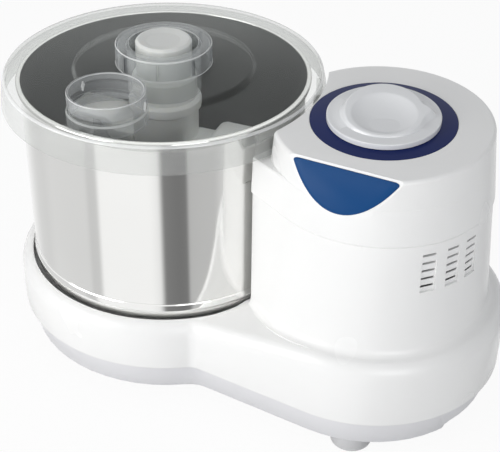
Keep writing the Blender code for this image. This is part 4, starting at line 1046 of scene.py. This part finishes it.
# %% Tones round the room
compass_tones = [
    (0, 0.8), (11.5, 0.8), (40, 0.75), (60, 0.45), (80, 0.9), (100, 1), (130, 1), (150, 0.85), (163.6, 0.72),
    (175.7, 0.7), (188.8, 0.75), (227.5, 0.73), (230.9, 0.63), (237.9, 0.64), (241.4, 0.99), (284.7, 1),
    (292.1, 0.9), (296.1, 0.22), (308.7, 0.19), (315.1, 0.2), (317.8, 0.52), (328.8, 0.54), (339.7, 0.55),
    (346.9, 0.68), (357.6, 0.8),
]


def white_room(strength):
    """Dim for the light it gives, white where it is seen, and banded below the horizon for reflections."""
    finish = Finish("white_room", room=True)
    direction = finish.node("ShaderNodeTexCoord", output="Generated")
    x, y, z = (finish.node("ShaderNodeSeparateXYZ", values={0: direction}, output=axis) for axis in (0, 1, 2))
    compass = y.maths("ARCTAN2", y, x) * (1 / full_turn) + 1
    stops = [(angle / 360, grey(tone, (0.995, 1, 0.99))) for angle, tone in compass_tones]
    tone = finish.node("ShaderNodeValToRGB", {"stops": stops}, {"Fac": compass.maths("FRACT", compass, 0)})
    glossy_ray = finish.node("ShaderNodeLightPath", output="Is Glossy Ray")
    shade = (1 - tone) * glossy_ray * z.maths("LESS_THAN", z, 0)
    dim = finish.node("ShaderNodeBackground", values={"Color": grey(strength, (0.98, 1, 1.03))})
    white = finish.node("ShaderNodeBackground", values={"Color": grey(1)})
    black = finish.node("ShaderNodeBackground", values={"Color": grey(0)})
    banded = finish.node("ShaderNodeMixShader", values={0: shade, 1: white, 2: black})
    mixed = finish.node("ShaderNodeMixShader", values={0: seen_directly(finish, 1), 1: dim, 2: banded})
    return finish.done(mixed)


# %% Table and room
table_reach = 9000
table_z = -0.3
corners = [(x * table_reach, y * table_reach, table_z) for x, y in ((-1, -1), (1, -1), (1, 1), (-1, 1))]
floor = solid("studio_floor", (corners, [(0, 1, 2, 3)]))
shown_share = 0.93
matt_tone = 0.86
floor.data.materials.append(table_white(shown_share, matt_tone))
floor.visible_glossy = False
room_strength = 0.35
bpy.context.scene.world = white_room(room_strength)
print("table and room, with", len(compass_tones), "tones for the steel")


# %% Lamps
lamp_target = Vector((0, 0, 0.1))


def lamp(name, spot, size, power, tint=(1, 1, 1)):
    """A soft rectangular lamp that is turned to the grinder's middle. Spot and size are in metres."""
    data = bpy.data.lights.new(name, "AREA")
    data.shape = "RECTANGLE"
    data.size, data.size_y = size
    data.energy = power
    data.color = tint
    thing = bpy.data.objects.new(name, data)
    thing.location = spot
    thing.rotation_euler = (lamp_target - Vector(spot)).to_track_quat("-Z", "Y").to_euler()
    bpy.context.scene.collection.objects.link(thing)
    print("lamp", name, power, "W")


lamp("front_left", (-1.0, -1.5, 0.75), (1.4, 1.2), 22.4, (1, 0.995, 0.985))
lamp("front_right", (1.2, -1.2, 0.6), (0.8, 1.0), 8)
lamp("overhead", (-0.1, 0.4, 1.6), (1.4, 1.4), 2)

# %% [markdown]
# ## Camera
# The photograph was taken from the front right and above. Its pose was solved from the ellipses of the drum's rim
# and the tower's top, and is written as three angles, a place and a focal length.

# %% Camera
yaw, pitch, roll = math.radians(26.03), math.radians(33.96), math.radians(0.78)
camera_spot = (0.37495, -0.7779, 0.7026)
focal_length = 86.4
back = Vector((math.sin(yaw) * math.cos(pitch), -math.cos(yaw) * math.cos(pitch), math.sin(pitch)))
right = Vector((math.cos(yaw), math.sin(yaw), 0))
up = back.cross(right)
camera_x = right * math.cos(roll) + up * math.sin(roll)
camera_y = up * math.cos(roll) - right * math.sin(roll)
camera_data = bpy.data.cameras.new("camera")
camera_data.sensor_width = 36
camera_data.lens = focal_length
camera = bpy.data.objects.new("camera", camera_data)
aim = Matrix((camera_x, camera_y, back)).transposed().to_4x4()
camera.matrix_world = Matrix.Translation(camera_spot) @ aim
bpy.context.scene.collection.objects.link(camera)
bpy.context.scene.camera = camera
bpy.context.scene.view_settings.view_transform = "Standard"
print("camera at", [round(v, 3) for v in camera.location])
